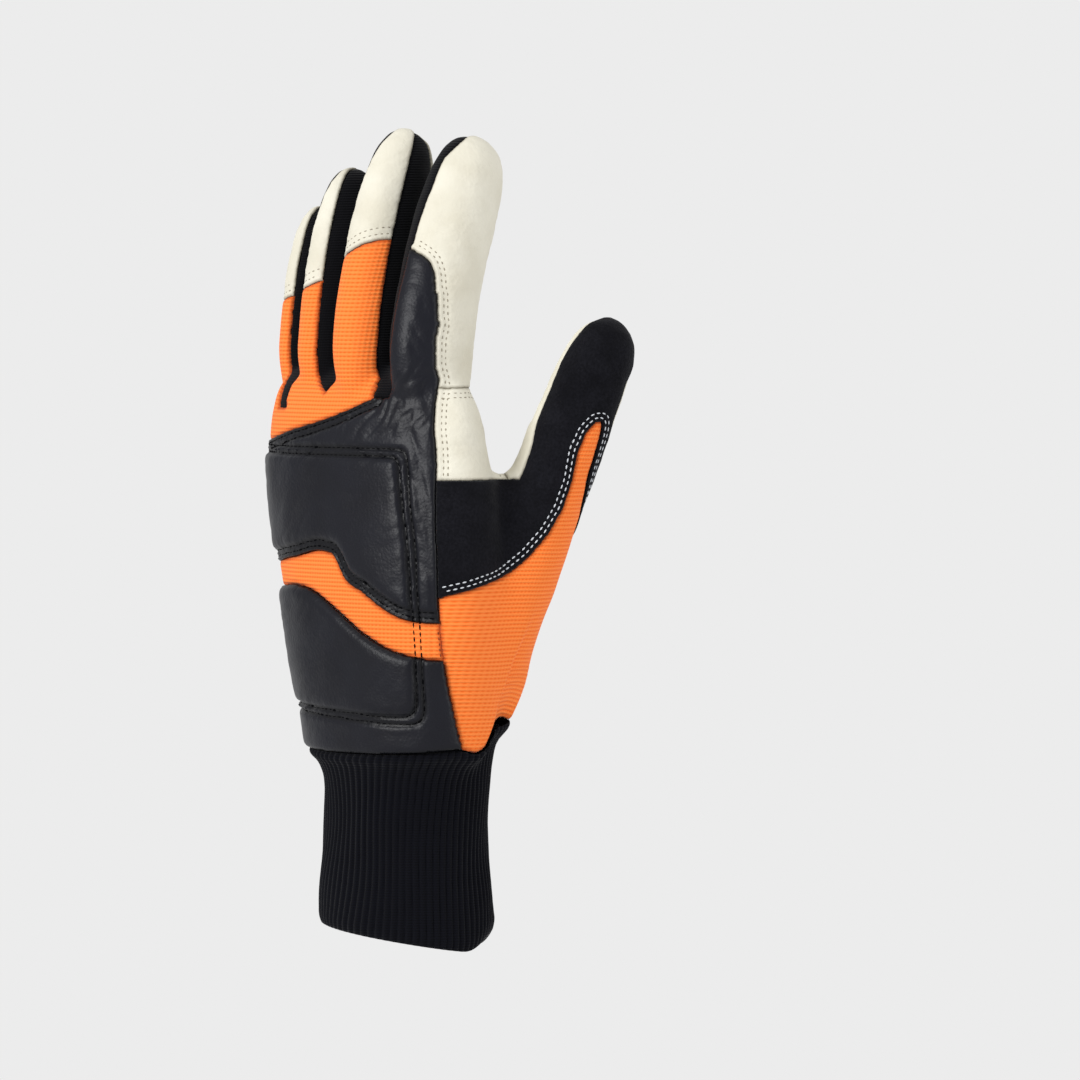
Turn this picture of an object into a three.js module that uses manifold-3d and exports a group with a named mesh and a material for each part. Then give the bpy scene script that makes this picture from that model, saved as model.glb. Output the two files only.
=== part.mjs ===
// A left-hand work glove for chainsaw use, standing open as if a hand were in it, fingers up.
// The back of the hand faces -Y, the palm +Y and the thumb +X. The origin is the middle of the cuff's mouth.
// Every panel is cut from one hollow hand form, so neighbours meet edge to edge along their seams.
import * as THREE from "three";
import { mergeVertices } from "three/addons/utils/BufferGeometryUtils.js";
import Module from "manifold-3d";

const wasm = await Module();
wasm.setup();

// Driving sizes, in millimetres
const CUFF_LENGTH = 70; // mouth of the cuff to the wrist seam, at the back
const CUFF_WIDTH = 63; // across the ribbed cuff
const CUFF_DEPTH = 52;
const PALM_LENGTH = 130; // wrist seam to the webs between the fingers
const PALM_WIDTH = 97; // across the palm below the knuckles
const PALM_DEPTH = 43; // back of the hand to the palm
const FINGER_LENGTH = 83; // the middle finger above its webs
const FINGER_WIDTH = 22.6;
const FINGER_DEPTH = 28;
const THUMB_RISE = 130; // height from the ball of the thumb to its tip
const THUMB_WIDTH = 28;
const WALL = 1.6; // leather, suede and knit panels
const CUFF_WALL = 2.6; // folded rib knit
const PAD_STEP = 0.8; // the black leather lies on the knit by this much
const BLOCK_RISE = 1.4; // the cut-protection block swells the back by this much
const SEAM_GAP = 0.34; // between neighbouring panels
const FOURCHETTE_WIDTH = 13; // black strips down the sides of the fingers away from the thumb
const RIB_COUNT = 46;
const RIB_DEPTH = 0.9;
const HEM_LIFT = 2.5; // height of the wrist seam at the sides of the hand, above the nominal line
const HEM_SLOPE = 0.13; // the wrist seam rises towards the palm
const CUFF_TUCK = 5; // the cuff runs up inside the hem
const CUFF_EASE = 1.1; // room between the tucked cuff and the panels around it
const MOUTH_SLOPE = 0.15; // the cuff's mouth is cut a little askew
const QUILT_WIDTH = 1.8;
const QUILT_DEPTH = 0.6;
const FAR = 160; // reach of a cutting form, clear of the whole glove

const SIDES = { hand: 28, finger: 12, thumb: 16, web: 12 }; // points around each kind of section
const HOLLOW_SIDES = { hand: 20, finger: 8, thumb: 10, web: 8 }; // and of the hollow inside
const SQUARENESS = 2.3; // of the palm's sections; 2 is an ellipse

const WRIST = CUFF_LENGTH;
const WEB = WRIST + PALM_LENGTH;

// Sections of the hand: up is a share of the palm's length, x and wide of its width, y and deep of its depth
const HAND_ROWS = [
  { up: 0.0, x: 0.005, y: -0.02, wide: 0.775, deep: 1.21 },
  { up: 0.12, x: -0.002, y: -0.045, wide: 0.815, deep: 1.21 },
  { up: 0.26, x: -0.008, y: -0.085, wide: 0.885, deep: 1.15 },
  { up: 0.39, x: -0.02, y: -0.105, wide: 0.938, deep: 1.09 },
  { up: 0.52, x: -0.036, y: -0.118, wide: 0.98, deep: 1.02 },
  { up: 0.65, x: -0.062, y: -0.112, wide: 1.0, deep: 0.98 },
  { up: 0.79, x: -0.093, y: -0.105, wide: 0.99, deep: 0.91 },
  { up: 0.89, x: -0.108, y: -0.105, wide: 0.95, deep: 0.81 },
  { up: 0.955, x: -0.12, y: -0.095, wide: 0.87, deep: 0.67 },
  { up: 1.0, x: -0.134, y: -0.07, wide: 0.76, deep: 0.42 },
];

// Fingers: x and y place the root on the palm; rise, lean and curl are shares of the finger length.
// On the side nearest the thumb the black knit starts at lead across the back, a share of the finger's width,
// and wraps behind and ahead of the finger's middle by shares of its depth.
const FINGER_ROWS = [
  { name: "index", x: 0.165, y: -0.09, rise: 0.943, lean: -0.07, curl: 0.35, girth: 1.12 },
  { name: "middle", x: -0.09, y: -0.19, rise: 0.98, lean: -0.088, curl: 0.32, girth: 1.0 },
  { name: "ring", x: -0.325, y: -0.11, rise: 0.825, lean: -0.085, curl: 0.235, girth: 0.9 },
  { name: "little", x: -0.533, y: 0.08, rise: 0.665, lean: -0.078, curl: 0.19, girth: 0.8 },
];
const FOURCHETTE_ROWS = {
  index: { lead: 0.35, behind: 0.3, ahead: 0.3 },
  middle: { lead: 0.4, behind: 0.31, ahead: 0.33 },
  ring: { lead: 0.23, behind: 0.65, ahead: 0.4 },
  little: { lead: 0.1, behind: 0.65, ahead: 0.23 },
};

// How a finger's girth runs from its root inside the palm to its tip; dome is how far a section faces up
const FINGER_PROFILE = [
  { along: 0.0, girth: 0.8, dome: 0 },
  { along: 0.27, girth: 1.02, dome: 0 },
  { along: 0.54, girth: 1.0, dome: 0 },
  { along: 0.8, girth: 0.96, dome: 0 },
  { along: 0.89, girth: 0.89, dome: 0.2 },
  { along: 0.95, girth: 0.74, dome: 0.5 },
  { along: 0.985, girth: 0.5, dome: 0.8 },
  { along: 1.0, girth: 0.24, dome: 1 },
];
const FINGER_ROOT = 0.33; // of the finger length, below the webs
const CURL_POWER = 1.5;

// The thumb's path: up, x and y are shares of its rise, from the ball of the thumb
const THUMB_ROWS = [
  { up: -0.15, x: 0.14, y: 0.05, girth: 1.0, dome: 0 },
  { up: 0.0, x: 0.175, y: 0.083, girth: 1.1, dome: 0 },
  { up: 0.13, x: 0.2, y: 0.1, girth: 1.2, dome: 0 },
  { up: 0.26, x: 0.236, y: 0.122, girth: 1.17, dome: 0 },
  { up: 0.42, x: 0.279, y: 0.169, girth: 1.08, dome: 0 },
  { up: 0.58, x: 0.312, y: 0.221, girth: 1.0, dome: 0 },
  { up: 0.74, x: 0.35, y: 0.273, girth: 0.95, dome: 0 },
  { up: 0.87, x: 0.383, y: 0.317, girth: 0.88, dome: 0.1 },
  { up: 0.94, x: 0.4, y: 0.34, girth: 0.75, dome: 0.4 },
  { up: 0.98, x: 0.41, y: 0.351, girth: 0.52, dome: 0.8 },
  { up: 1.0, x: 0.414, y: 0.357, girth: 0.24, dome: 1 },
];
const THUMB_BASE = WRIST + 0.12 * PALM_LENGTH;

// The web of skin between thumb and palm
const WEB_ROWS = [
  { up: 0.1, wide: 0.5, deep: 0.5 },
  { up: 0.3, wide: 0.95, deep: 0.8 },
  { up: 0.46, wide: 1.0, deep: 0.75 },
  { up: 0.56, wide: 0.86, deep: 0.6 },
  { up: 0.6, wide: 0.6, deep: 0.34 },
];
const WEB_WIDTH = 42;
const WEB_DEPTH = 24;

// Cuff sections, from the mouth up
const CUFF_ROWS = [
  { up: 0.0, wide: 1.05, deep: 1.02 },
  { up: 0.09, wide: 1.06, deep: 1.03 },
  { up: 0.45, wide: 0.99, deep: 0.99 },
  { up: 0.83, wide: 1.03, deep: 0.98 },
];

// Seam lines. x is a share of the palm's width; up is a share of the palm's length above the wrist seam
const BACK_SEAM = [
  { up: -0.1, x: 0.384 },
  { up: 0.26, x: 0.371 },
  { up: 0.5, x: 0.362 },
  { up: 0.75, x: 0.333 },
  { up: 0.88, x: 0.305 },
  { up: 1.0, x: 0.275 },
  { up: 1.12, x: 0.25 },
  { up: 1.24, x: 0.23 },
];
const THENAR_SEAM = [
  { up: -0.1, x: 0.12 },
  { up: 0.06, x: 0.106 },
  { up: 0.13, x: 0.025 },
  { up: 0.26, x: -0.004 },
  { up: 0.39, x: -0.004 },
  { up: 0.45, x: 0.035 },
  { up: 0.5, x: 0.08 },
  { up: 0.58, x: 0.13 },
  { up: 0.64, x: 0.175 },
  { up: 0.71, x: 0.24 },
];
const STRIPE_TOP = [
  { x: -0.9, up: 0.485 },
  { x: -0.46, up: 0.487 },
  { x: -0.3, up: 0.503 },
  { x: -0.12, up: 0.519 },
  { x: -0.076, up: 0.51 },
  { x: -0.02, up: 0.454 },
  { x: 0.075, up: 0.415 },
  { x: 0.16, up: 0.377 },
  { x: 0.26, up: 0.346 },
  { x: 0.37, up: 0.338 },
  { x: 0.5, up: 0.338 },
];
const STRIPE_BOTTOM = [
  { x: -0.9, up: 0.415 },
  { x: -0.45, up: 0.42 },
  { x: -0.27, up: 0.427 },
  { x: -0.185, up: 0.415 },
  { x: -0.06, up: 0.37 },
  { x: 0.082, up: 0.308 },
  { x: 0.19, up: 0.27 },
  { x: 0.28, up: 0.25 },
  { x: 0.37, up: 0.24 },
  { x: 0.5, up: 0.238 },
];
const KNUCKLE_TOP = [
  { x: -0.9, up: 0.8 },
  { x: -0.5, up: 0.81 },
  { x: -0.355, up: 0.835 },
  { x: -0.2, up: 0.86 },
  { x: -0.064, up: 0.89 },
  { x: 0.015, up: 0.912 },
];
const INDEX_STRIP_TOP = 1.31; // up, where the black strip on the index finger ends
const INDEX_STRIP_INNER = 0.033; // x, between the middle and index fingers, at their webs
const INDEX_STRIP_LEAN = -0.037; // how far that line leans with the fingers
const FINGERTIP_HEMS = { middle: 1.32, ring: 1.225, little: 1.185 }; // up, where leather tips meet the knit
const FINGER_LEATHER_SEAM = [
  { x: -0.9, up: 0.885 },
  { x: -0.6, up: 0.892 },
  { x: 0.0, up: 0.935 },
  { x: 0.4, up: 0.955 },
  { x: 0.9, up: 0.955 },
];
const BLOCK_OUTLINE = [
  { x: -0.47, up: 0.79 },
  { x: 0.175, up: 0.795 },
  { x: 0.275, up: 0.09 },
  { x: -0.42, up: 0.12 },
];
const QUILT_LINES = [
  { left: 0.755, right: 0.83 },
  { left: 0.575, right: 0.66 },
  { left: 0.42, right: 0.5 },
  { left: 0.225, right: 0.375 },
];

// Panels of the thumb, as sweeps around its axis in degrees; 0 is +X and 90 the palm side
const KNIT_SWEEP = [
  { up: -0.25, from: -150, to: 113 },
  { up: -0.08, from: -150, to: 115 },
  { up: 0.06, from: -150, to: 122 },
  { up: 0.17, from: -150, to: 122 },
  { up: 0.274, from: -150, to: 115 },
  { up: 0.285, from: -84, to: 113 },
  { up: 0.305, from: -71, to: 108 },
  { up: 0.34, from: -56, to: 99 },
  { up: 0.385, from: -36, to: 81 },
  { up: 0.45, from: -19, to: 56 },
  { up: 0.515, from: -11, to: 36 },
  { up: 0.585, from: -11, to: 21 },
  { up: 0.66, from: -20, to: 13 },
  { up: 0.715, from: -18, to: 9 },
  { up: 0.74, from: -8, to: 3 },
];
const SUEDE_LOW_SWEEP = [
  { up: 0.2, from: -150, to: 110 },
  { up: 0.355, from: -150, to: 100 },
  { up: 0.43, from: -150, to: 91 },
  { up: 0.5, from: -150, to: 80 },
  { up: 0.6, from: -150, to: 62 },
];
const SUEDE_HIGH_SWEEP = [
  { up: 0.5, from: -88, to: 80 },
  { up: 0.58, from: -90, to: 65 },
  { up: 0.66, from: -94, to: 43 },
  { up: 0.74, from: -104, to: 31 },
  { up: 0.84, from: -109, to: 33 },
  { up: 0.92, from: -110, to: 42 },
  { up: 1.05, from: -110, to: 60 },
];
const SUEDE_EDGE = WRIST + 0.71 * PALM_LENGTH; // top edge of the suede across the web

const SEAM_RUN = SEAM_GAP / 2;
const SEAM_FOOT = -0.093; // of the palm's depth: where the back seam's cut turns towards the palm
const GUSSET_START = 0.88; // up, below the webs at the back of the hand
const WEDGE_STEPS = [0.32, 0.5, 0.71, 1.14]; // of the thumb's width: radii where a wedge's walls are worked out
const THUMB_COLUMN = 0.61; // of the thumb's width: radius of the column that holds the thumb above the web
const SUEDE_REACH = 0.64; // of the thumb's width: how far out the suede's upper wedge goes

const lerp = (a, b, t) => a + (b - a) * t;

// The value of a column at a height, from a table with rising "up"
function at(rows, up, column) {
  const last = rows.length - 1;
  const i = Math.min(Math.max(rows.findIndex((row) => row.up > up) - 1, 0), last - 1);
  if (up >= rows[last].up) return rows[last][column];
  if (up <= rows[0].up) return rows[0][column];
  const t = (up - rows[i].up) / (rows[i + 1].up - rows[i].up);
  return lerp(rows[i][column], rows[i + 1][column], t);
}

// A closed solid from a three.js geometry
function solid(geometry) {
  geometry.deleteAttribute("normal");
  geometry.deleteAttribute("uv");
  const merged = mergeVertices(geometry, 1e-4);
  return new wasm.Manifold(
    new wasm.Mesh({
      numProp: 3,
      vertProperties: new Float32Array(merged.attributes.position.array),
      triVerts: new Uint32Array(merged.index.array),
    }),
  );
}

// Skins rings of equal point count, listed upwards and each running anticlockwise seen from above
function loft(rings, closedRound = false) {
  const count = rings[0].length;
  const positions = rings.flat().flatMap((p) => [p.x, p.y, p.z]);
  const index = [];
  const bands = closedRound ? rings.length : rings.length - 1;
  for (let r = 0; r < bands; r++) {
    const low = r * count;
    const high = ((r + 1) % rings.length) * count;
    for (let i = 0; i < count; i++) {
      const j = (i + 1) % count;
      index.push(low + i, low + j, high + j, low + i, high + j, high + i);
    }
  }
  if (!closedRound) {
    const top = (rings.length - 1) * count;
    const flat = (ring) => ring.map((p) => new THREE.Vector2(p.x, p.y));
    for (const [a, b, c] of THREE.ShapeUtils.triangulateShape(flat(rings[0]), [])) index.push(c, b, a);
    for (const [a, b, c] of THREE.ShapeUtils.triangulateShape(flat(rings.at(-1)), []))
      index.push(top + a, top + b, top + c);
  }
  const geometry = new THREE.BufferGeometry();
  geometry.setAttribute("position", new THREE.Float32BufferAttribute(positions, 3));
  geometry.setIndex(index);
  return solid(geometry);
}

// A flat section in the XY plane
function handRing(x, y, z, wide, deep, sides, power = SQUARENESS) {
  return Array.from({ length: sides }, (_, i) => {
    const turn = (2 * Math.PI * (i + 0.5)) / sides;
    const c = Math.cos(turn);
    const s = Math.sin(turn);
    const reach = (Math.abs(c) ** power + Math.abs(s) ** power) ** (-1 / power);
    return new THREE.Vector3(x + wide * c * reach, y + deep * s * reach, z);
  });
}

// An elliptical tube through stations, each square to the path
function tube(stations, sides) {
  const rings = stations.map((station, i) => {
    const before = stations[Math.max(i - 1, 0)].point;
    const after = stations[Math.min(i + 1, stations.length - 1)].point;
    const along = after.clone().sub(before).normalize();
    const deepAxis = new THREE.Vector3().crossVectors(along, new THREE.Vector3(1, 0, 0)).normalize();
    const wideAxis = new THREE.Vector3().crossVectors(deepAxis, along);
    return Array.from({ length: sides }, (_, k) => {
      const turn = (2 * Math.PI * (k + 0.5)) / sides;
      return station.point
        .clone()
        .addScaledVector(wideAxis, station.wide * Math.cos(turn))
        .addScaledVector(deepAxis, station.deep * Math.sin(turn));
    });
  });
  return loft(rings);
}

const hemHeight = (y) => WRIST + HEM_LIFT + HEM_SLOPE * y;

// Middle of a finger at a height
function fingerCentre(finger, z) {
  const tip = FINGER_LENGTH * finger.rise;
  const t = Math.max(z - WEB, 0) / tip;
  return new THREE.Vector3(
    PALM_WIDTH * finger.x + FINGER_LENGTH * finger.lean * ((z - WEB) / tip),
    PALM_DEPTH * finger.y + FINGER_LENGTH * finger.curl * t ** CURL_POWER,
    z,
  );
}

function fingerSolid(finger, grow, sides) {
  const root = WEB - FINGER_LENGTH * FINGER_ROOT;
  const tip = WEB + FINGER_LENGTH * finger.rise;
  const stations = FINGER_PROFILE.map((row) => {
    const size = finger.girth * row.girth;
    const z = lerp(root, tip, row.along) + grow * row.dome;
    return {
      point: fingerCentre(finger, z),
      wide: Math.max((FINGER_WIDTH / 2) * size + grow, 0.6),
      deep: Math.max((FINGER_DEPTH / 2) * size + grow, 0.6),
    };
  });
  return tube(stations, sides);
}

// Middle of the thumb at a height
function thumbCentre(z) {
  const up = (z - THUMB_BASE) / THUMB_RISE;
  return new THREE.Vector3(THUMB_RISE * at(THUMB_ROWS, up, "x"), THUMB_RISE * at(THUMB_ROWS, up, "y"), z);
}

function thumbSolid(grow, sides) {
  const stations = THUMB_ROWS.map((row) => {
    const point = new THREE.Vector3(row.x, row.y, row.up).multiplyScalar(THUMB_RISE);
    point.z += THUMB_BASE + grow * row.dome;
    const half = Math.max((THUMB_WIDTH / 2) * row.girth + grow, 0.6);
    return { point, wide: half, deep: half };
  });
  return tube(stations, sides);
}

// The web stands between the thumb's axis and the palm's edge
function webSolid(grow, sides) {
  const rings = WEB_ROWS.map((row) => {
    const z = THUMB_BASE + THUMB_RISE * row.up + (row === WEB_ROWS.at(-1) ? grow : 0);
    const thumb = thumbCentre(z);
    const palm = new THREE.Vector3(PALM_WIDTH * 0.24, 0, z);
    const middle = thumb.clone().lerp(palm, 0.5);
    const turn = Math.atan2(thumb.y - palm.y, thumb.x - palm.x);
    const wide = (WEB_WIDTH / 2) * row.wide + grow;
    const deep = (WEB_DEPTH / 2) * row.deep + grow;
    const up = new THREE.Vector3(0, 0, 1);
    return handRing(0, 0, 0, wide, deep, sides, 2).map((p) => p.applyAxisAngle(up, turn).add(middle));
  });
  return loft(rings);
}

function palmSolid(grow, sides) {
  const rings = HAND_ROWS.map((row, i) => {
    const z = WRIST + PALM_LENGTH * row.up + (i === HAND_ROWS.length - 1 ? grow : 0);
    const wide = (PALM_WIDTH * row.wide) / 2 + grow;
    const deep = (PALM_DEPTH * row.deep) / 2 + grow;
    return handRing(PALM_WIDTH * row.x, PALM_DEPTH * row.y, z, wide, deep, sides);
  });
  const skirt = rings[0].map((p) => p.clone().setZ(WRIST - PALM_DEPTH / 2));
  return loft([skirt, ...rings]);
}

// The whole hand form, swollen or shrunk by grow
function handForm(grow, sides = SIDES) {
  const parts = [
    palmSolid(grow, sides.hand),
    thumbSolid(grow, sides.thumb),
    webSolid(grow, sides.web),
    ...FINGER_ROWS.map((finger) => fingerSolid(finger, grow, sides.finger)),
  ];
  return parts.reduce((sum, part) => sum.add(part));
}

// A cutting form with an outline in the XZ plane, reaching right through the glove along Y
function prism(outline, y0 = -FAR, y1 = FAR) {
  const shape = new THREE.Shape(outline.map((p) => new THREE.Vector2(p.x, p.z)));
  const geometry = new THREE.ExtrudeGeometry(shape, { depth: y1 - y0, bevelEnabled: false });
  geometry.rotateX(Math.PI / 2);
  geometry.translate(0, y1, 0);
  return solid(geometry);
}

const place = (row) => ({ x: PALM_WIDTH * row.x, z: WRIST + PALM_LENGTH * row.up });

// A smooth line through table rows, as points in the XZ plane
function smooth(rows, steps = 2) {
  const line = new THREE.SplineCurve(rows.map((row) => new THREE.Vector2(place(row).x, place(row).z)));
  return line.getPoints(steps * (rows.length - 1)).map((p) => ({ x: p.x, z: p.y }));
}

// Everything above, or below, a seam line that runs across the glove
function beyond(rows, side, gap = SEAM_RUN) {
  const line = smooth(rows);
  const edge = line.map((p) => ({ x: p.x, z: p.z + side * gap }));
  return prism([
    { x: -FAR, z: edge[0].z },
    ...edge,
    { x: FAR, z: edge.at(-1).z },
    { x: FAR, z: side * 4 * FAR },
    { x: -FAR, z: side * 4 * FAR },
  ]);
}

// The sheet that parts the back of the glove from the palm: its depth at each finger, and at the palm's edges
function sheetPoint(finger, z) {
  const centre = fingerCentre(finger, z);
  const up = (z - WRIST) / PALM_LENGTH;
  const palmY = PALM_DEPTH * at(HAND_ROWS, up, "y");
  const blend = THREE.MathUtils.clamp((up - 0.75) / 0.25, 0, 1);
  return { x: centre.x, y: lerp(palmY, centre.y, blend) };
}

const SHEET_HEIGHTS = [-0.1, 0.26, 0.5, 0.75, 0.88, 0.96, 1.03, 1.12, 1.24, 1.4, 1.6, 1.9].map(
  (up) => WRIST + PALM_LENGTH * up,
);
const ACROSS = [...FINGER_ROWS].reverse(); // from the little finger to the index

const seamAt = (z) => PALM_WIDTH * at(BACK_SEAM, (z - WRIST) / PALM_LENGTH, "x");

function backHalf() {
  const rings = SHEET_HEIGHTS.map((z) => {
    const line = ACROSS.map((f) => sheetPoint(f, z)).map((p) => new THREE.Vector3(p.x, p.y - SEAM_RUN, z));
    const seam = seamAt(z) - SEAM_RUN;
    return [
      new THREE.Vector3(-FAR, -FAR, z),
      new THREE.Vector3(seam, -FAR, z),
      new THREE.Vector3(seam, line.at(-1).y, z),
      ...line.toReversed(),
      new THREE.Vector3(-FAR, line[0].y, z),
    ];
  });
  return loft(rings);
}

function frontHalf() {
  const rings = SHEET_HEIGHTS.map((z) => {
    const line = ACROSS.map((f) => sheetPoint(f, z)).map((p) => new THREE.Vector3(p.x, p.y + SEAM_RUN, z));
    const seam = seamAt(z) + SEAM_RUN;
    return [
      new THREE.Vector3(-FAR, line[0].y, z),
      ...line,
      new THREE.Vector3(seam, line.at(-1).y, z),
      new THREE.Vector3(seam, -FAR, z),
      new THREE.Vector3(FAR, -FAR, z),
      new THREE.Vector3(FAR, FAR, z),
      new THREE.Vector3(-FAR, FAR, z),
    ];
  });
  return loft(rings);
}

const leadOf = (finger) => FINGER_WIDTH * finger.girth * FOURCHETTE_ROWS[finger.name].lead;

// The middle slab of a finger, whose tip the palm leather wraps
function fingerCore(finger, grow) {
  const left = FINGER_WIDTH * finger.girth * 0.33 + grow;
  const right = leadOf(finger) + grow;
  const low = WRIST + PALM_LENGTH * (FINGERTIP_HEMS[finger.name] ?? INDEX_STRIP_TOP);
  const heights = [low, lerp(low, WEB + FINGER_LENGTH, 0.5), WEB + FINGER_LENGTH * 1.2];
  const rings = heights.map((z) => {
    const { x } = fingerCentre(finger, z);
    return [
      new THREE.Vector3(x - left, -FAR, z),
      new THREE.Vector3(x + right, -FAR, z),
      new THREE.Vector3(x + right, FAR, z),
      new THREE.Vector3(x - left, FAR, z),
    ];
  });
  return loft(rings);
}

// The sides of two neighbouring fingers that face each other, with the web between them.
// It starts lower at the back of the hand than at the palm.
function sideGusset(left, right, grow) {
  const edge = FOURCHETTE_ROWS[left.name];
  const heights = SHEET_HEIGHTS.filter((z) => z > WRIST + PALM_LENGTH * GUSSET_START - 1);
  const rings = heights.map((z) => {
    const up = (z - WRIST) / PALM_LENGTH;
    const behind = THREE.MathUtils.clamp((up - GUSSET_START) / 0.08, 0.02, 1);
    const ahead = THREE.MathUtils.clamp((up - 0.98) / 0.05, 0.02, 1);
    const a = sheetPoint(left, z);
    const b = sheetPoint(right, z);
    return [
      new THREE.Vector3(a.x + leadOf(left) - grow, a.y - FINGER_DEPTH * edge.behind * behind - grow, z),
      new THREE.Vector3(b.x, b.y - (FOURCHETTE_WIDTH / 2) * behind - grow, z),
      new THREE.Vector3(b.x, b.y + (FOURCHETTE_WIDTH / 2) * ahead + grow, z),
      new THREE.Vector3(a.x, a.y + FINGER_DEPTH * edge.ahead * ahead + grow, z),
    ];
  });
  return loft(rings).subtract(cores(SEAM_RUN - grow));
}

// A wedge around the thumb's axis, for one of its panels
function sweep(rows, reach, grow = 0) {
  const radii = WEDGE_STEPS.map((share) => THUMB_WIDTH * share).filter((r) => r < reach);
  const spread = THREE.MathUtils.radToDeg(grow / (THUMB_WIDTH / 2));
  const rings = rows.map((row, i) => {
    const z = THUMB_BASE + THUMB_RISE * row.up + (i === rows.length - 1 ? grow : 0);
    const centre = thumbCentre(z);
    const spoke = (r, t) => {
      const turn = THREE.MathUtils.degToRad(lerp(row.from - spread, row.to + spread, t));
      return new THREE.Vector3(centre.x + r * Math.cos(turn), centre.y + r * Math.sin(turn), z);
    };
    const rim = Array.from({ length: 7 }, (_, k) => spoke(reach, k / 6));
    return [centre, ...radii.map((r) => spoke(r, 0)), ...rim, ...radii.toReversed().map((r) => spoke(r, 1))];
  });
  return loft(rings);
}

// All that belongs to the thumb: what is beyond the back and thenar seams below the web,
// and the thumb's own tube above it
function thumbZone(grow) {
  const lows = THENAR_SEAM.map((row) => WRIST + PALM_LENGTH * row.up);
  lows[lows.length - 1] = SUEDE_EDGE + grow;
  const rings = lows.map((z) => {
    const up = (z - WRIST) / PALM_LENGTH;
    const back = PALM_WIDTH * at(BACK_SEAM, up, "x") + SEAM_RUN - grow;
    const palm = PALM_WIDTH * at(THENAR_SEAM, up, "x") + SEAM_RUN - grow;
    return [
      new THREE.Vector3(back, -FAR, z),
      new THREE.Vector3(FAR, -FAR, z),
      new THREE.Vector3(FAR, FAR, z),
      new THREE.Vector3(palm, FAR, z),
      new THREE.Vector3(palm, 0, z),
      new THREE.Vector3(back, PALM_DEPTH * SEAM_FOOT, z),
    ];
  });
  const heights = [0.5, 0.7, 0.9, 1.1].map((up) => THUMB_BASE + THUMB_RISE * up);
  const column = heights.map((z) => {
    const centre = thumbCentre(z);
    const half = THUMB_WIDTH * THUMB_COLUMN + grow;
    return handRing(centre.x, centre.y, z, half, half, SIDES.thumb, 2);
  });
  return loft(rings).add(loft(column));
}

const outer = handForm(0);
const swollen = handForm(PAD_STEP);
const hollow = handForm(-WALL, HOLLOW_SIDES);

const belowHem = loft(
  [-FAR, 0].map((z) =>
    [
      [-FAR, -FAR],
      [FAR, -FAR],
      [FAR, FAR],
      [-FAR, FAR],
    ].map(([x, y]) => new THREE.Vector3(x, y, z < 0 ? z : hemHeight(y))),
  ),
);

const block = prism(BLOCK_OUTLINE.map(place), -FAR, 0);
const blockSkin = handForm(PAD_STEP + BLOCK_RISE).intersect(block);
const skin = outer.subtract(hollow).subtract(belowHem);
const padSkin = swollen.add(blockSkin).subtract(hollow).subtract(belowHem);
const stripeSkin = outer.add(handForm(BLOCK_RISE).intersect(block)).subtract(hollow).subtract(belowHem);

const thumb = thumbZone(0);
const thumbClear = thumbZone(SEAM_GAP);
const back = backHalf();
const front = frontHalf();
const cores = (grow) => FINGER_ROWS.map((f) => fingerCore(f, grow)).reduce((a, b) => a.add(b));

// The knuckle pad's outline, with the black strip up the back of the index finger
function knuckleForm(grow) {
  const line = smooth(KNUCKLE_TOP).map((p) => ({ x: p.x, z: p.z + grow }));
  const strip = [
    { x: INDEX_STRIP_INNER, up: KNUCKLE_TOP.at(-1).up - 0.01 },
    { x: 0.6, up: KNUCKLE_TOP.at(-1).up - 0.01 },
    { x: 0.6, up: INDEX_STRIP_TOP },
    { x: INDEX_STRIP_INNER + INDEX_STRIP_LEAN, up: INDEX_STRIP_TOP },
  ]
    .map(place)
    .map((p, i) => ({ x: p.x + (i === 0 || i === 3 ? -grow : 0), z: p.z + (i > 1 ? grow : -grow) }));
  const corners = [{ x: -FAR, z: WRIST }, { x: FAR, z: WRIST }, { x: FAR, z: line.at(-1).z }];
  return prism([...corners, ...line.reverse(), { x: -FAR, z: line.at(-1).z }]).add(prism(strip));
}

// Heights where each finger's leather tip starts, as a stepped outline across the fingers
function tipOutline(gap) {
  const tops = ACROSS.map((f) => WRIST + PALM_LENGTH * (FINGERTIP_HEMS[f.name] ?? INDEX_STRIP_TOP) + gap);
  const middles = ACROSS.slice(1).map((f, i) => {
    const z = tops[i];
    return (fingerCentre(ACROSS[i], z).x + fingerCentre(f, z).x) / 2;
  });
  const steps = tops.flatMap((z, i) => [
    { x: i ? middles[i - 1] : -FAR, z },
    { x: i < middles.length ? middles[i] : FAR, z },
  ]);
  return [...steps, { x: FAR, z: 3 * FAR }, { x: -FAR, z: 3 * FAR }];
}

const tips = prism(tipOutline(SEAM_RUN));
const tipsClear = prism(tipOutline(-SEAM_RUN));
const fingerSide = beyond(FINGER_LEATHER_SEAM, 1);
const palmSide = beyond(FINGER_LEATHER_SEAM, -1);
const knit = sweep(KNIT_SWEEP, FAR);
const knitClear = sweep(KNIT_SWEEP, FAR, SEAM_GAP);
const suedeForm = (grow) =>
  sweep(SUEDE_LOW_SWEEP, FAR, grow).add(sweep(SUEDE_HIGH_SWEEP, THUMB_WIDTH * SUEDE_REACH, grow));

// The line that parts two neighbouring fingers, at a height
function between(left, right, z) {
  const share = left.girth / (left.girth + right.girth);
  return lerp(fingerCentre(left, z).x, fingerCentre(right, z).x, share);
}

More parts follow.
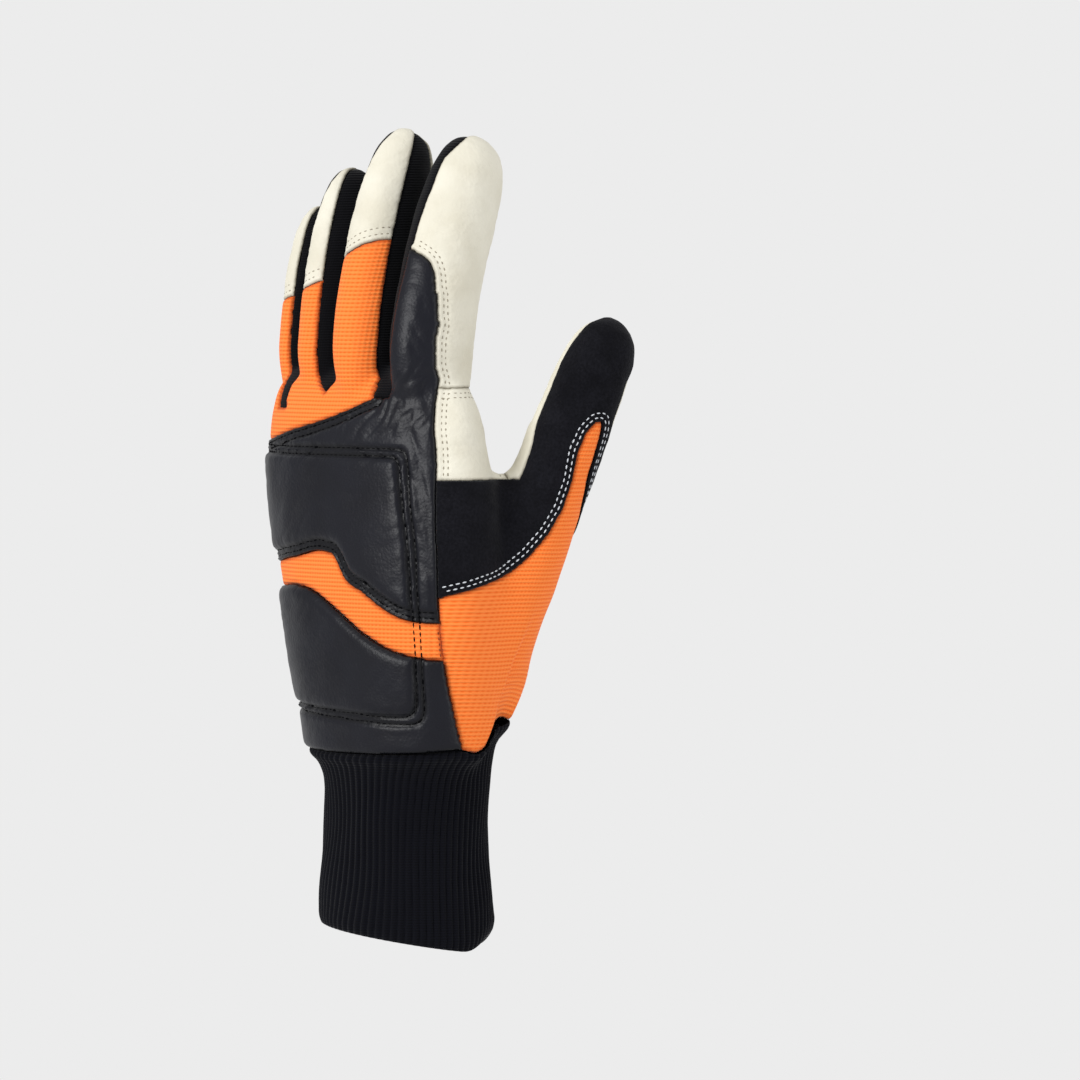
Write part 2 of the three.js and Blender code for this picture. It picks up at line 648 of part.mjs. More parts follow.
// The space around one finger, up to the lines that part it from its neighbours
function fingerSpace(finger) {
  const i = ACROSS.indexOf(finger);
  const rings = [WRIST + PALM_LENGTH / 2, WEB + FINGER_LENGTH * 1.2].map((z) => {
    const from = i > 0 ? between(ACROSS[i - 1], finger, z) + SEAM_RUN : -FAR;
    const to = i < ACROSS.length - 1 ? between(finger, ACROSS[i + 1], z) - SEAM_RUN : FAR;
    return [
      new THREE.Vector3(from, -FAR, z),
      new THREE.Vector3(to, -FAR, z),
      new THREE.Vector3(to, FAR, z),
      new THREE.Vector3(from, FAR, z),
    ];
  });
  return loft(rings);
}

// Quilting lines pressed into the palm
function quilting() {
  const lines = QUILT_LINES.map(({ left, right }) => {
    const half = QUILT_WIDTH / 2 / PALM_LENGTH;
    return prism(
      [
        { x: -0.7, up: left - half },
        { x: 0.6, up: right - half },
        { x: 0.6, up: right + half },
        { x: -0.7, up: left + half },
      ].map(place),
      0,
    );
  });
  return lines.reduce((a, b) => a.add(b)).subtract(handForm(-QUILT_DEPTH));
}

function cuffSolid() {
  const ring = (wide, deep, z, ribs) =>
    handRing(0, 0, z, wide, deep, RIB_COUNT * 2, 2).map((p, i) => {
      const size = 1 - (ribs * (i % 2) * RIB_DEPTH) / Math.hypot(p.x, p.y);
      const low = MOUTH_SLOPE * Math.max(1 - z / CUFF_LENGTH, 0);
      return new THREE.Vector3(p.x * size, p.y * size, z + low * (CUFF_WIDTH / 2 - p.x * 0.77 - p.y * 0.64));
    });
  const hem = HAND_ROWS[0];
  const wide = (PALM_WIDTH * hem.wide) / 2 - WALL - CUFF_EASE;
  const deep = (PALM_DEPTH * hem.deep) / 2 - WALL - CUFF_EASE;
  const outside = CUFF_ROWS.map((row) =>
    ring((CUFF_WIDTH * row.wide) / 2, (CUFF_DEPTH * row.deep) / 2, CUFF_LENGTH * row.up, 1),
  );
  const shift = new THREE.Vector3(PALM_WIDTH * hem.x, PALM_DEPTH * hem.y, 0);
  const tuck = [-CUFF_TUCK, CUFF_TUCK].map((rise) =>
    ring(wide, deep, 0, 1).map((p) => p.setZ(0).add(shift).setZ(hemHeight(p.y) + rise)),
  );
  const top = ring(wide - CUFF_WALL, deep - CUFF_WALL, 0, 0).map((p) =>
    p.setZ(0).add(shift).setZ(hemHeight(p.y) + CUFF_TUCK),
  );
  const inside = [0.5, 0].map((up) =>
    ring(
      (CUFF_WIDTH * at(CUFF_ROWS, up, "wide")) / 2 - CUFF_WALL,
      (CUFF_DEPTH * at(CUFF_ROWS, up, "deep")) / 2 - CUFF_WALL,
      CUFF_LENGTH * up,
      0,
    ),
  );
  return loft([...outside, ...tuck, top, ...inside], true);
}

const backPanels = back.subtract(thumbClear);
const stripe = beyond(STRIPE_BOTTOM, 1).intersect(beyond(STRIPE_TOP, -1));
const knucklePanel = knuckleForm(0).intersect(beyond(STRIPE_TOP, 1));
const knucklePanelClear = knuckleForm(SEAM_GAP);
const gussets = ACROSS.slice(1).map((right, i) => ({
  name: `fourchette_${ACROSS[i].name}_${right.name}`,
  form: skin.intersect(sideGusset(ACROSS[i], right, 0)),
}));
const gussetClear = ACROSS.slice(1)
  .map((right, i) => sideGusset(ACROSS[i], right, SEAM_GAP))
  .reduce((a, b) => a.add(b));

const fingerLeather = skin
  .intersect(fingerSide)
  .intersect(front.add(tips))
  .subtract(thumbClear)
  .subtract(gussetClear);

const COLOURS = {
  leather_black: { color: 0x24242a, roughness: 0.55 },
  leather_cream: { color: 0xe6e1d0, roughness: 0.75 },
  suede: { color: 0x1b1b20, roughness: 0.95 },
  knit_orange: { color: 0xff7a2e, roughness: 0.9 },
  knit_black: { color: 0x121318, roughness: 0.95 },
  gusset: { color: 0x0e0e10, roughness: 0.95 },
};

const PANELS = [
  { name: "cuff", look: "knit_black", form: cuffSolid() },
  {
    name: "palm_pad",
    look: "leather_cream",
    form: skin.intersect(front).intersect(palmSide).subtract(thumbClear).subtract(quilting()),
  },
  ...FINGER_ROWS.map((finger) => ({
    name: `${finger.name}_leather`,
    look: "leather_cream",
    form: fingerLeather.intersect(fingerSpace(finger)),
  })),
  {
    name: "knuckle_pad",
    look: "leather_black",
    form: padSkin.intersect(backPanels).intersect(knucklePanel).subtract(gussetClear),
  },
  {
    name: "wrist_pad",
    look: "leather_black",
    form: padSkin.intersect(backPanels).intersect(beyond(STRIPE_BOTTOM, -1)),
  },
  { name: "back_stripe", look: "knit_orange", form: stripeSkin.intersect(backPanels).intersect(stripe) },
  {
    name: "finger_knit",
    look: "knit_orange",
    form: skin.intersect(backPanels).subtract(knucklePanelClear).subtract(tipsClear).subtract(gussetClear),
  },
  { name: "thumb_knit", look: "knit_orange", form: skin.intersect(thumb).intersect(knit) },
  {
    name: "thumb_suede",
    look: "suede",
    form: skin.intersect(thumb).intersect(suedeForm(0)).subtract(knitClear),
  },
  {
    name: "thumb_leather",
    look: "leather_cream",
    form: skin.intersect(thumb).subtract(knitClear).subtract(suedeForm(SEAM_GAP)),
  },
  ...gussets.map((g) => ({ ...g, look: "gusset" })),
];

// The largest body of a cut form, without the slivers a cut can leave
function mainBody(form) {
  return form.decompose().reduce((a, b) => (b.volume() > a.volume() ? b : a));
}

const glove = new THREE.Group();
for (const { name, look, form } of PANELS) {
  const cut = mainBody(form).getMesh();
  const geometry = new THREE.BufferGeometry();
  geometry.setAttribute("position", new THREE.Float32BufferAttribute(cut.vertProperties, 3));
  geometry.setIndex(new THREE.Uint32BufferAttribute(cut.triVerts, 1));
  geometry.computeVertexNormals();
  const mesh = new THREE.Mesh(geometry, new THREE.MeshStandardMaterial({ ...COLOURS[look], metalness: 0 }));
  mesh.name = name;
  glove.add(mesh);
}

export default glove;
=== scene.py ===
"""A left-hand work glove for chainsaw use, standing open as worn: its leather, knit and stitching."""

import math

import bmesh
import bpy
import numpy as np
from bpy.props import FloatProperty, IntProperty, PointerProperty, StringProperty
from mathutils import Matrix, Vector, kdtree, noise
from mathutils.bvhtree import BVHTree


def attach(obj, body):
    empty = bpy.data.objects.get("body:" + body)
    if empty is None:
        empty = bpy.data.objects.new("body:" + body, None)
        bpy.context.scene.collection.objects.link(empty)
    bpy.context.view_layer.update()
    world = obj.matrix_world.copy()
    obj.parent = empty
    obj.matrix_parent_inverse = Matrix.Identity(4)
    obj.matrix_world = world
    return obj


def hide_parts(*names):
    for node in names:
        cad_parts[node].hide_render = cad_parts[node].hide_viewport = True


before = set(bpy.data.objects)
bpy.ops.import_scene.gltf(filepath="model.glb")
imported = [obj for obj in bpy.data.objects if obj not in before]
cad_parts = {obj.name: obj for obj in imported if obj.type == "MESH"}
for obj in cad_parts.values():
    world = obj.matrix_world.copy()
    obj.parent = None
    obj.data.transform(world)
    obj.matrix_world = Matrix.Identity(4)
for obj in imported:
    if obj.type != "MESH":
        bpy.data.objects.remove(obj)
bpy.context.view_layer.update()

bl_info = {
    "name": "Chainsaw work glove",
    "version": (1, 0, 0),
    "blender": (4, 5, 0),
    "location": "View3D > Sidebar > Glove",
    "description": "Builds a left-hand chainsaw work glove of leather, suede and knit, with its stitching",
    "category": "Add Mesh",
}

# Lengths are in millimetres here, and a finished mesh is scaled to metres.
# +Z runs up to the fingertips, +X to the thumb, -Y out of the back of the hand.
MM = 0.001
CUFF_LENGTH = 70.0
CUFF_WIDTH = 63.0
CUFF_DEPTH = 52.0
PALM_LENGTH = 130.0
PALM_WIDTH = 97.0
PALM_DEPTH = 43.0
FINGER_LENGTH = 83.0
FINGER_WIDTH = 22.6
FINGER_DEPTH = 28.0
THUMB_RISE = 130.0
THUMB_WIDTH = 28.0
HEM_LIFT = 2.5
HEM_SLOPE = 0.13
MOUTH_SLOPE = 0.15
SQUARENESS = 2.3
WRIST = CUFF_LENGTH
WEB = WRIST + PALM_LENGTH
THUMB_BASE = WRIST + 0.12 * PALM_LENGTH
SUEDE_EDGE = WRIST + 0.71 * PALM_LENGTH
FINGER_ROOT = 0.33
CURL_POWER = 1.5
THUMB_COLUMN = 0.61
WEB_WIDTH = 42.0
WEB_DEPTH = 24.0
# Where the web leaves the palm, as a share of its width
WEB_START = 0.24
# Where the thumb's suede begins and its knit ends, as shares of its rise
SUEDE_START = 0.2
KNIT_TIP = 0.74
# Share of the palm's length above which the side strips may lie
STRIP_ZONE = 0.88
# The surface is cut along each seam and along a line on either side of it, at these distances
SEAM_CUTS = (0.0, 0.55, -0.55)
# How far a panel's seam allowance runs under its neighbour, and how deep
LAP_WIDTH = 0.62
LAP_DEPTH = 1.1
# Patches with fewer faces than this aren't panels, and lines with fewer points aren't stitch rows
SMALLEST_PANEL = 260
SHORTEST_ROW = 14
# The camera's turn from the back of the hand and its height, in degrees, its distance and the width that
# it sees at the glove, in metres, and the point that it aims at: metres to the right of the cuff, and up
CAMERA = {"turn": 45, "tilt": 2, "distance": 3.0, "frame_width": 0.3705, "right": 0.046, "up": 0.141}
# A distance from a seam that is too long to matter
FAR_OFF = 99.0


def table(names, *rows):
    """A table with named columns."""
    return {name: np.array(column, float) for name, column in zip(names.split(), zip(*rows))}


HAND = table(
    "up x y wide deep",
    (0.0, 0.005, -0.02, 0.775, 1.21), (0.12, -0.002, -0.045, 0.815, 1.21),
    (0.26, -0.008, -0.085, 0.885, 1.15), (0.39, -0.02, -0.105, 0.938, 1.09),
    (0.52, -0.036, -0.118, 0.98, 1.02), (0.65, -0.062, -0.112, 1.0, 0.98),
    (0.79, -0.093, -0.105, 0.99, 0.91), (0.89, -0.108, -0.105, 0.95, 0.81),
    (0.955, -0.12, -0.095, 0.87, 0.67), (1.0, -0.134, -0.07, 0.76, 0.42),
)
FINGERS = {
    "little": {"x": -0.533, "y": 0.08, "rise": 0.665, "lean": -0.078, "curl": 0.19, "girth": 0.8},
    "ring": {"x": -0.325, "y": -0.11, "rise": 0.825, "lean": -0.085, "curl": 0.235, "girth": 0.9},
    "middle": {"x": -0.09, "y": -0.19, "rise": 0.98, "lean": -0.088, "curl": 0.32, "girth": 1.0},
    "index": {"x": 0.165, "y": -0.09, "rise": 0.943, "lean": -0.07, "curl": 0.35, "girth": 1.12},
}
# The black side strips run between these angles round a finger, in degrees from the side facing the thumb
NEAR_STRIP = {"little": (-78, 35), "ring": (-64, 58), "middle": (-27, 40)}
# and on its other side between these, in degrees from the side away from the thumb
FAR_FRONT = -28
FAR_BACK = table(
    "along degrees",
    *((0.0, 38), (0.3, 46), (0.6, 58), (0.8, 70), (0.92, 82), (1.0, 95), (1.2, 95)),
)
FAR_BACK_INDEX = table(
    "along degrees",
    *((-0.1, 66), (0.0, 74), (0.35, 82), (0.5, 87), (0.77, 95), (0.92, 98), (1.0, 112), (1.2, 112)),
)
STRIP_FOOT = {"little": 0.893, "ring": 0.93, "middle": 0.925}
# On the palm the strips end just below the crotches
PALM_FOOT = 0.987
# Degrees by which the strips narrow over the last millimetres behind
STRIP_TAPER = {"little": 0, "ring": 17, "middle": 0}
# Height of each leather tip's hem in the middle of its finger, as a share of the palm's length,
# and how much it rises beside that, in mm, by the distance towards the thumb
TIP_HEMS = {"little": 1.187, "ring": 1.219, "middle": 1.313, "index": 1.312}
TIP_LINES = {
    "little": table("off rise", (-11, -3.5), (-7, -1.8), (0, 0), (5, 0.8), (10, 1.2)),
    "ring": table("off rise", (-12, -4.5), (-8, -2.6), (-4.8, -1.2), (0, 0), (4.4, 1.5), (10, 2.2)),
    "middle": table("off rise", (-12, -6.5), (-8, -4.0), (-4, -1.5), (0, 0), (4, 1.9), (8, 3.2), (12, 3.6)),
    "index": table(
        "off rise", (-12, 2.4), (-3.3, 1.0), (1, -0.3), (5.3, -2.3), (7.3, -4.2), (8.7, -7.5), (10, -15)
    ),
}
FINGER_GIRTH = table(
    "along girth",
    (0.0, 0.8), (0.27, 1.02), (0.54, 1.0), (0.8, 0.96), (0.89, 0.88), (0.95, 0.72), (0.985, 0.48),
    (1.0, 0.2),
)
THUMB = table(
    "up x y girth",
    (-0.15, 0.14, 0.05, 1.0), (0.0, 0.175, 0.083, 1.1), (0.13, 0.2, 0.1, 1.2),
    (0.26, 0.236, 0.122, 1.17), (0.42, 0.279, 0.169, 1.08), (0.58, 0.312, 0.221, 1.0),
    (0.74, 0.35, 0.273, 0.95), (0.87, 0.383, 0.317, 0.87), (0.94, 0.4, 0.34, 0.73),
    (0.98, 0.41, 0.351, 0.5), (1.0, 0.414, 0.357, 0.2),
)
THUMB_WEB = table(
    "up wide deep",
    (0.1, 0.5, 0.5), (0.3, 0.95, 0.8), (0.46, 1.0, 0.75), (0.56, 0.86, 0.6), (0.6, 0.6, 0.34),
)
CUFF = table(
    "up wide deep",
    (0.0, 1.04, 1.01), (0.04, 1.06, 1.03), (0.1, 1.055, 1.03), (0.45, 0.99, 0.99), (0.78, 1.0, 0.965),
    (0.86, 1.02, 0.965), (0.92, 1.08, 0.98), (0.965, 1.165, 1.02), (0.985, 1.165, 1.0),
    (1.01, 1.13, 0.92), (1.1, 1.1, 0.9),
)
BACK_SEAM = table(
    "up x",
    (-0.1, 0.384), (0.26, 0.371), (0.5, 0.362), (0.75, 0.333), (0.88, 0.303), (0.95, 0.283),
    (1.0, 0.274), (1.06, 0.271), (1.12, 0.269), (1.24, 0.24), (1.4, 0.2),
)
THENAR_SEAM = table(
    "up x",
    (-0.1, 0.12), (0.06, 0.106), (0.13, 0.025), (0.26, -0.004), (0.39, -0.004), (0.45, 0.035),
    (0.5, 0.08), (0.58, 0.13), (0.64, 0.175), (0.71, 0.24),
)
STRIPE_TOP = table(
    "x up",
    (-0.9, 0.485), (-0.46, 0.487), (-0.3, 0.503), (-0.12, 0.519), (-0.076, 0.51), (-0.02, 0.454),
    (0.075, 0.415), (0.16, 0.377), (0.26, 0.346), (0.37, 0.338), (0.5, 0.338),
)
STRIPE_BOTTOM = table(
    "x up",
    (-0.9, 0.415), (-0.45, 0.42), (-0.27, 0.427), (-0.185, 0.415), (-0.06, 0.37), (0.082, 0.308),
    (0.19, 0.27), (0.28, 0.25), (0.37, 0.24), (0.5, 0.238),
)
KNUCKLE_TOP = table(
    "x up",
    (-0.9, 0.8), (-0.5, 0.81), (-0.355, 0.835), (-0.2, 0.86), (-0.064, 0.89), (0.015, 0.912),
    (0.131, 0.946), (0.6, 0.99),
)
INDEX_STRIP = {"top": 1.31, "foot": 0.93, "inner": 0.133, "lean": -0.031}
FINGER_SEAM = table(
    "x up",
    (-0.9, 0.885), (-0.6, 0.892), (0.0, 0.935), (0.4, 0.955), (0.9, 0.955),
)
# Panels of the thumb as angles around its axis, in degrees; 0 is +X and 90 the palm side
THUMB_KNIT = table(
    "up start stop",
    (-0.25, -150, 113), (-0.08, -150, 115), (0.06, -150, 122), (0.17, -150, 122), (0.274, -150, 115),
    (0.285, -84, 113), (0.305, -71, 108), (0.34, -56, 99), (0.385, -36, 81), (0.45, -19, 56),
    (0.515, -11, 36), (0.585, -11, 21), (0.66, -20, 13), (0.715, -18, 9), (0.74, -8, 3),
)
THUMB_SUEDE = table(
    "up start stop",
    (0.2, -150, 110), (0.355, -150, 100), (0.43, -150, 91), (0.5, -88, 80), (0.58, -90, 65),
    (0.66, -94, 43), (0.74, -104, 31), (0.84, -109, 33), (0.92, -110, 42), (1.05, -110, 60),
)

PAIRS = [("little", "ring"), ("ring", "middle"), ("middle", "index")]
# Each panel of the glove, with the name of its piece
PIECE_NAMES = {
    "palm_pad": "palm_goatskin",
    "finger_leather": "finger_goatskin",
    "knuckle_pad": "knuckle_pad_goatskin",
    "wrist_pad": "wrist_pad_goatskin",
    "back_stripe": "back_stripe_knit",
    "finger_knit": "finger_back_knit",
    "thumb_knit": "thumb_panel_knit",
    "thumb_suede": "thumb_split_suede",
    "thumb_leather": "thumb_goatskin",
    "fourchette_little_ring": "side_strip_little_ring",
    "fourchette_ring_middle": "side_strip_ring_middle",
    "fourchette_middle_index": "side_strip_middle_index",
}
PANELS = list(PIECE_NAMES)
ZONE = {name: number for number, name in enumerate(PANELS)}

# Stitch rows that run beside a seam: the panels they lie on, the panels across the seam, their
# distances from it in mm, the thread, the pitch and length of a stitch, and the lowest x.
# The real stitches are 2 to 2.5 mm long, as here.
SEAM_ROWS = {
    "suede": (["thumb_suede"], ["thumb_knit"], (1.5, 3.1), "white", 2.3, 1.7, -99),
    "knuckle_top": (["knuckle_pad"], ["finger_knit"], (1.2, 3.4), "black", 2.2, 2.3, -99),
    "knuckle_low": (["knuckle_pad"], ["back_stripe"], (1.6, 3.5), "black", 2.2, 2.3, -99),
    "index_side": (["palm_pad", "finger_leather"], ["knuckle_pad"], (2.4, 3.9), "grey", 2.2, 1.3, 0),
    "tip_hem": (["finger_leather"], ["finger_knit"], (2.1, 4.3), "grey", 2.1, 1.3, -99),
    "cross": (["palm_pad"], ["finger_leather"], (2.2, 4.0), "grey", 2.2, 1.4, -99),
    "thenar": (["palm_pad"], ["thumb_leather", "thumb_knit"], (1.9,), "grey", 2.3, 1.4, -99),
    "stripe_end": (["back_stripe"], ["thumb_knit"], (0.7,), "brown", 1.9, 1.2, -99),
}
# The outline of the padded block on the back, as shares of the palm's width and length:
# two stitched channels, the outer and the inner
BLOCK_ROWS = [
    [
        (-0.64, 0.795), (-0.3, 0.792), (0.17, 0.792), (0.226, 0.785), (0.236, 0.74), (0.262, 0.63),
        (0.287, 0.53), (0.302, 0.4), (0.311, 0.28), (0.312, 0.15), (0.308, 0.085), (0.26, 0.07),
        (0.1, 0.078), (-0.2, 0.092), (-0.4, 0.105), (-0.5, 0.14), (-0.56, 0.2),
    ],
    [
        (-0.64, 0.777), (-0.3, 0.774), (0.15, 0.773), (0.199, 0.766), (0.209, 0.72), (0.236, 0.62),
        (0.262, 0.53), (0.278, 0.4), (0.291, 0.28), (0.292, 0.16), (0.286, 0.105), (0.24, 0.088),
        (0.1, 0.095), (-0.2, 0.108), (-0.4, 0.121), (-0.5, 0.155), (-0.56, 0.215),
    ],
]
# Pressed and stitched lines across the palm, in the same shares, from the little finger's side to the thumb's
PALM_ROWS = [
    [
        (-0.56, 0.73), (-0.4, 0.757), (-0.2, 0.78), (0.0, 0.79), (0.16, 0.775),
    ],
    [
        (-0.57, 0.535), (-0.4, 0.575), (-0.2, 0.61), (-0.05, 0.615),
    ],
    [
        (-0.56, 0.37), (-0.4, 0.392), (-0.22, 0.415),
    ],
    [
        (-0.54, 0.19), (-0.35, 0.23), (-0.2, 0.27), (-0.06, 0.3),
    ],
]


def straight(rows, column, where, key="up"):
    """A column of a table at any place, in straight runs between its rows."""
    return np.interp(where, rows[key], rows[column])


def curve(rows, column, where, key="up"):
    """A column of a table at any place, as a smooth curve through its rows."""
    x, y = rows[key], rows[column]
    slope = np.gradient(y, x)
    i = np.clip(np.searchsorted(x, where) - 1, 0, len(x) - 2)
    step = x[i + 1] - x[i]
    t = np.clip((where - x[i]) / step, 0, 1)
    low = (2 * t**3 - 3 * t**2 + 1) * y[i] + (t**3 - 2 * t**2 + t) * step * slope[i]
    return low + (3 * t**2 - 2 * t**3) * y[i + 1] + (t**3 - t**2) * step * slope[i + 1]


def smooth_step(low, high, value):
    """Runs softly from 0 at low to 1 at high."""
    t = np.clip((value - low) / (high - low), 0, 1)
    return t * t * (3 - 2 * t)


def share_up(z):
    """Height above the wrist seam as a share of the palm's length."""
    return (z - WRIST) / PALM_LENGTH


def seam_height(rows, x):
    """Height of a seam that runs across the glove."""
    return WRIST + PALM_LENGTH * curve(rows, "up", x / PALM_WIDTH, "x")


def hem_height(y):
    """Height of the wrist seam, which rises towards the palm."""
    return WRIST + HEM_LIFT + HEM_SLOPE * y


def hem_lift(x, y):
    """How far the hem stands above its plane: raised on the palm, with a tongue below the thumb."""
    palm = (3.2 + 1.8 * smooth_step(0, 20, x)) * smooth_step(0.5, 7, y)
    return palm - 2.6 * smooth_step(12, 26, x) * np.exp(-(((y + 3) / 5) ** 2))


def finger_x(finger, z):
    """Middle of a finger at a height, towards the thumb."""
    f = FINGERS[finger]
    return PALM_WIDTH * f["x"] + FINGER_LENGTH * f["lean"] * (z - WEB) / (FINGER_LENGTH * f["rise"])


def finger_y(finger, z):
    """Middle of a finger at a height, towards the palm."""
    f = FINGERS[finger]
    t = np.maximum(z - WEB, 0) / (FINGER_LENGTH * f["rise"])
    return PALM_DEPTH * f["y"] + FINGER_LENGTH * f["curl"] * t**CURL_POWER


def thumb_axis(z):
    """Middle of the thumb at a height, as x and y."""
    up = (z - THUMB_BASE) / THUMB_RISE
    return THUMB_RISE * curve(THUMB, "x", up), THUMB_RISE * curve(THUMB, "y", up)


def thumb_turn(p):
    """Angle around the thumb's axis in degrees, and the distance from it."""
    x, y = thumb_axis(p[:, 2])
    dx, dy = p[:, 0] - x, p[:, 1] - y
    return np.degrees(np.arctan2(dy, dx)), np.hypot(dx, dy)


def sheet_place(finger, z):
    """Where the sheet that parts back and palm meets a finger."""
    palm_y = PALM_DEPTH * straight(HAND, "y", share_up(z))
    blend = np.clip((share_up(z) - 0.75) / 0.25, 0, 1)
    return finger_x(finger, z), palm_y + (finger_y(finger, z) - palm_y) * blend


def sheet_y(p):
    """Depth of the sheet that parts the back of the glove from the palm."""
    places = [sheet_place(finger, p[:, 2]) for finger in FINGERS]
    depth = places[0][1]
    for (x0, y0), (x1, y1) in zip(places, places[1:]):
        depth = depth + (y1 - y0) * np.clip((p[:, 0] - x0) / (x1 - x0), 0, 1)
    return depth


def back_seam(z):
    """Side seam between the back of the hand and the index finger's side."""
    return PALM_WIDTH * straight(BACK_SEAM, "x", share_up(z))


def thumb_limit(p):
    """The line beyond which the thumb's panels lie: the back seam, then the seam round the thumb's ball."""
    back = back_seam(p[:, 2])
    palm = PALM_WIDTH * curve(THENAR_SEAM, "x", share_up(p[:, 2]))
    return back + (palm - back) * np.clip((p[:, 1] + 4) / 4, 0, 1)


def strip_inner(z):
    """Inner edge of the black strip up the index finger."""
    run = (share_up(z) - INDEX_STRIP["foot"]) / (INDEX_STRIP["top"] - INDEX_STRIP["foot"])
    return PALM_WIDTH * (INDEX_STRIP["inner"] + INDEX_STRIP["lean"] * run)


def tip_hem(finger):
    """Height where a finger's leather tip begins."""
    return WRIST + PALM_LENGTH * TIP_HEMS[finger]


def wrap(degrees):
    """An angle brought into the half turn on either side of zero."""
    return (degrees + 180) % 360 - 180


def finger_turn(p, finger):
    """Angle round a finger, in degrees: 0 faces the thumb, 90 the palm."""
    dx = (p[:, 0] - finger_x(finger, p[:, 2])) / FINGER_WIDTH
    dy = (p[:, 1] - finger_y(finger, p[:, 2])) / FINGER_DEPTH
    return np.degrees(np.arctan2(dy, dx))


def far_back(finger, z):
    """How far the black strip of a finger's far side reaches round its back, in degrees."""
    along = (z - WEB) / (FINGER_LENGTH * FINGERS[finger]["rise"])
    return straight(FAR_BACK_INDEX if finger == "index" else FAR_BACK, "degrees", along, "along")


def strip_start(finger, z):
    """Where the black strip of a finger's near side begins, in degrees; it narrows to its foot."""
    foot = WRIST + PALM_LENGTH * STRIP_FOOT[finger]
    return NEAR_STRIP[finger][0] + STRIP_TAPER[finger] * (1 - smooth_step(foot, foot + 7, z))


def strip_foot(finger, p):
    """Share of the palm's length at which a strip ends: lower behind than on the palm."""
    return np.where(p[:, 1] > sheet_y(p), PALM_FOOT, STRIP_FOOT[finger])


def nearest_finger(p):
    """Number of the finger whose space each point is in."""
    names = list(FINGERS)
    number = np.zeros(len(p), int)
    for left, right in zip(names, names[1:]):
        a, b = FINGERS[left]["girth"], FINGERS[right]["girth"]
        xa, xb = finger_x(left, p[:, 2]), finger_x(right, p[:, 2])
        number += p[:, 0] > xa + (xb - xa) * a / (a + b)
    return number


def in_strip(p, left, right):
    """Whether points lie on the black strips between two fingers."""
    number, order = nearest_finger(p), list(FINGERS)
    turn, far = finger_turn(p, left), wrap(finger_turn(p, right) + 180)
    near = (turn > strip_start(left, p[:, 2])) & (turn < NEAR_STRIP[left][1])
    near &= number == order.index(left)
    near |= (number == order.index(right)) & (far > FAR_FRONT) & (far < far_back(right, p[:, 2]))
    return near & (share_up(p[:, 2]) > strip_foot(left, p))


def tip_line(finger, p):
    """Height of a finger's tip hem, which slants across it."""
    off = p[:, 0] - finger_x(finger, p[:, 2])
    return tip_hem(finger) + straight(TIP_LINES[finger], "rise", off, "off")


def tip_outline(p):
    """Height of the tip hem of the finger that each point belongs to."""
    return np.choose(nearest_finger(p), [tip_line(finger, p) for finger in FINGERS])


def on_thumb(p):
    """Whether points belong to the thumb's panels."""
    x, z = p[:, 0], p[:, 2]
    _, reach = thumb_turn(p)
    low = (z < SUEDE_EDGE) & (x > thumb_limit(p))
    return low | ((z > THUMB_BASE + 0.5 * THUMB_RISE) & (reach < THUMB_WIDTH * THUMB_COLUMN))


def web_crest(p):
    """Distance ahead of the line from the palm's middle to the thumb's axis, where the web's suede ends."""
    x, y = thumb_axis(p[:, 2])
    start = PALM_WIDTH * WEB_START
    return np.where(p[:, 0] < x - 2, p[:, 1] - y * (p[:, 0] - start) / (x - start) - 1.5, -9)


def zone_of(p):
    """The panel that each point belongs to."""
    x, y, z = p.T
    up = share_up(z)
    zone = np.full(len(p), ZONE["palm_pad"])
    zone[z > seam_height(FINGER_SEAM, x)] = ZONE["finger_leather"]
    back = (y < sheet_y(p)) & (x < back_seam(z)) & (z < tip_outline(p))
    knuckle = z < seam_height(KNUCKLE_TOP, x)
    knuckle |= (x > strip_inner(z)) & (up > INDEX_STRIP["foot"])
    zone[back & ~knuckle] = ZONE["finger_knit"]
    zone[back & knuckle] = ZONE["knuckle_pad"]
    zone[back & (z < seam_height(STRIPE_TOP, x))] = ZONE["back_stripe"]
    zone[back & (z < seam_height(STRIPE_BOTTOM, x))] = ZONE["wrist_pad"]
    zone[(z > tip_outline(p)) & (z > WEB)] = ZONE["finger_leather"]
    for left, right in PAIRS:
        zone[in_strip(p, left, right)] = ZONE[f"fourchette_{left}_{right}"]
    turn, _ = thumb_turn(p)
    rise = (z - THUMB_BASE) / THUMB_RISE
    thumb = on_thumb(p)
    zone[thumb] = ZONE["thumb_leather"]
    suede = (rise > SUEDE_START) & (turn < straight(THUMB_SUEDE, "stop", rise))
    suede &= (z < SUEDE_EDGE) | (turn > straight(THUMB_SUEDE, "start", rise))
    suede &= web_crest(p) < 0
    zone[thumb & suede] = ZONE["thumb_suede"]
    knit = (turn > straight(THUMB_KNIT, "start", rise)) & (turn < straight(THUMB_KNIT, "stop", rise))
    zone[thumb & knit & (rise < KNIT_TIP)] = ZONE["thumb_knit"]
    return zone


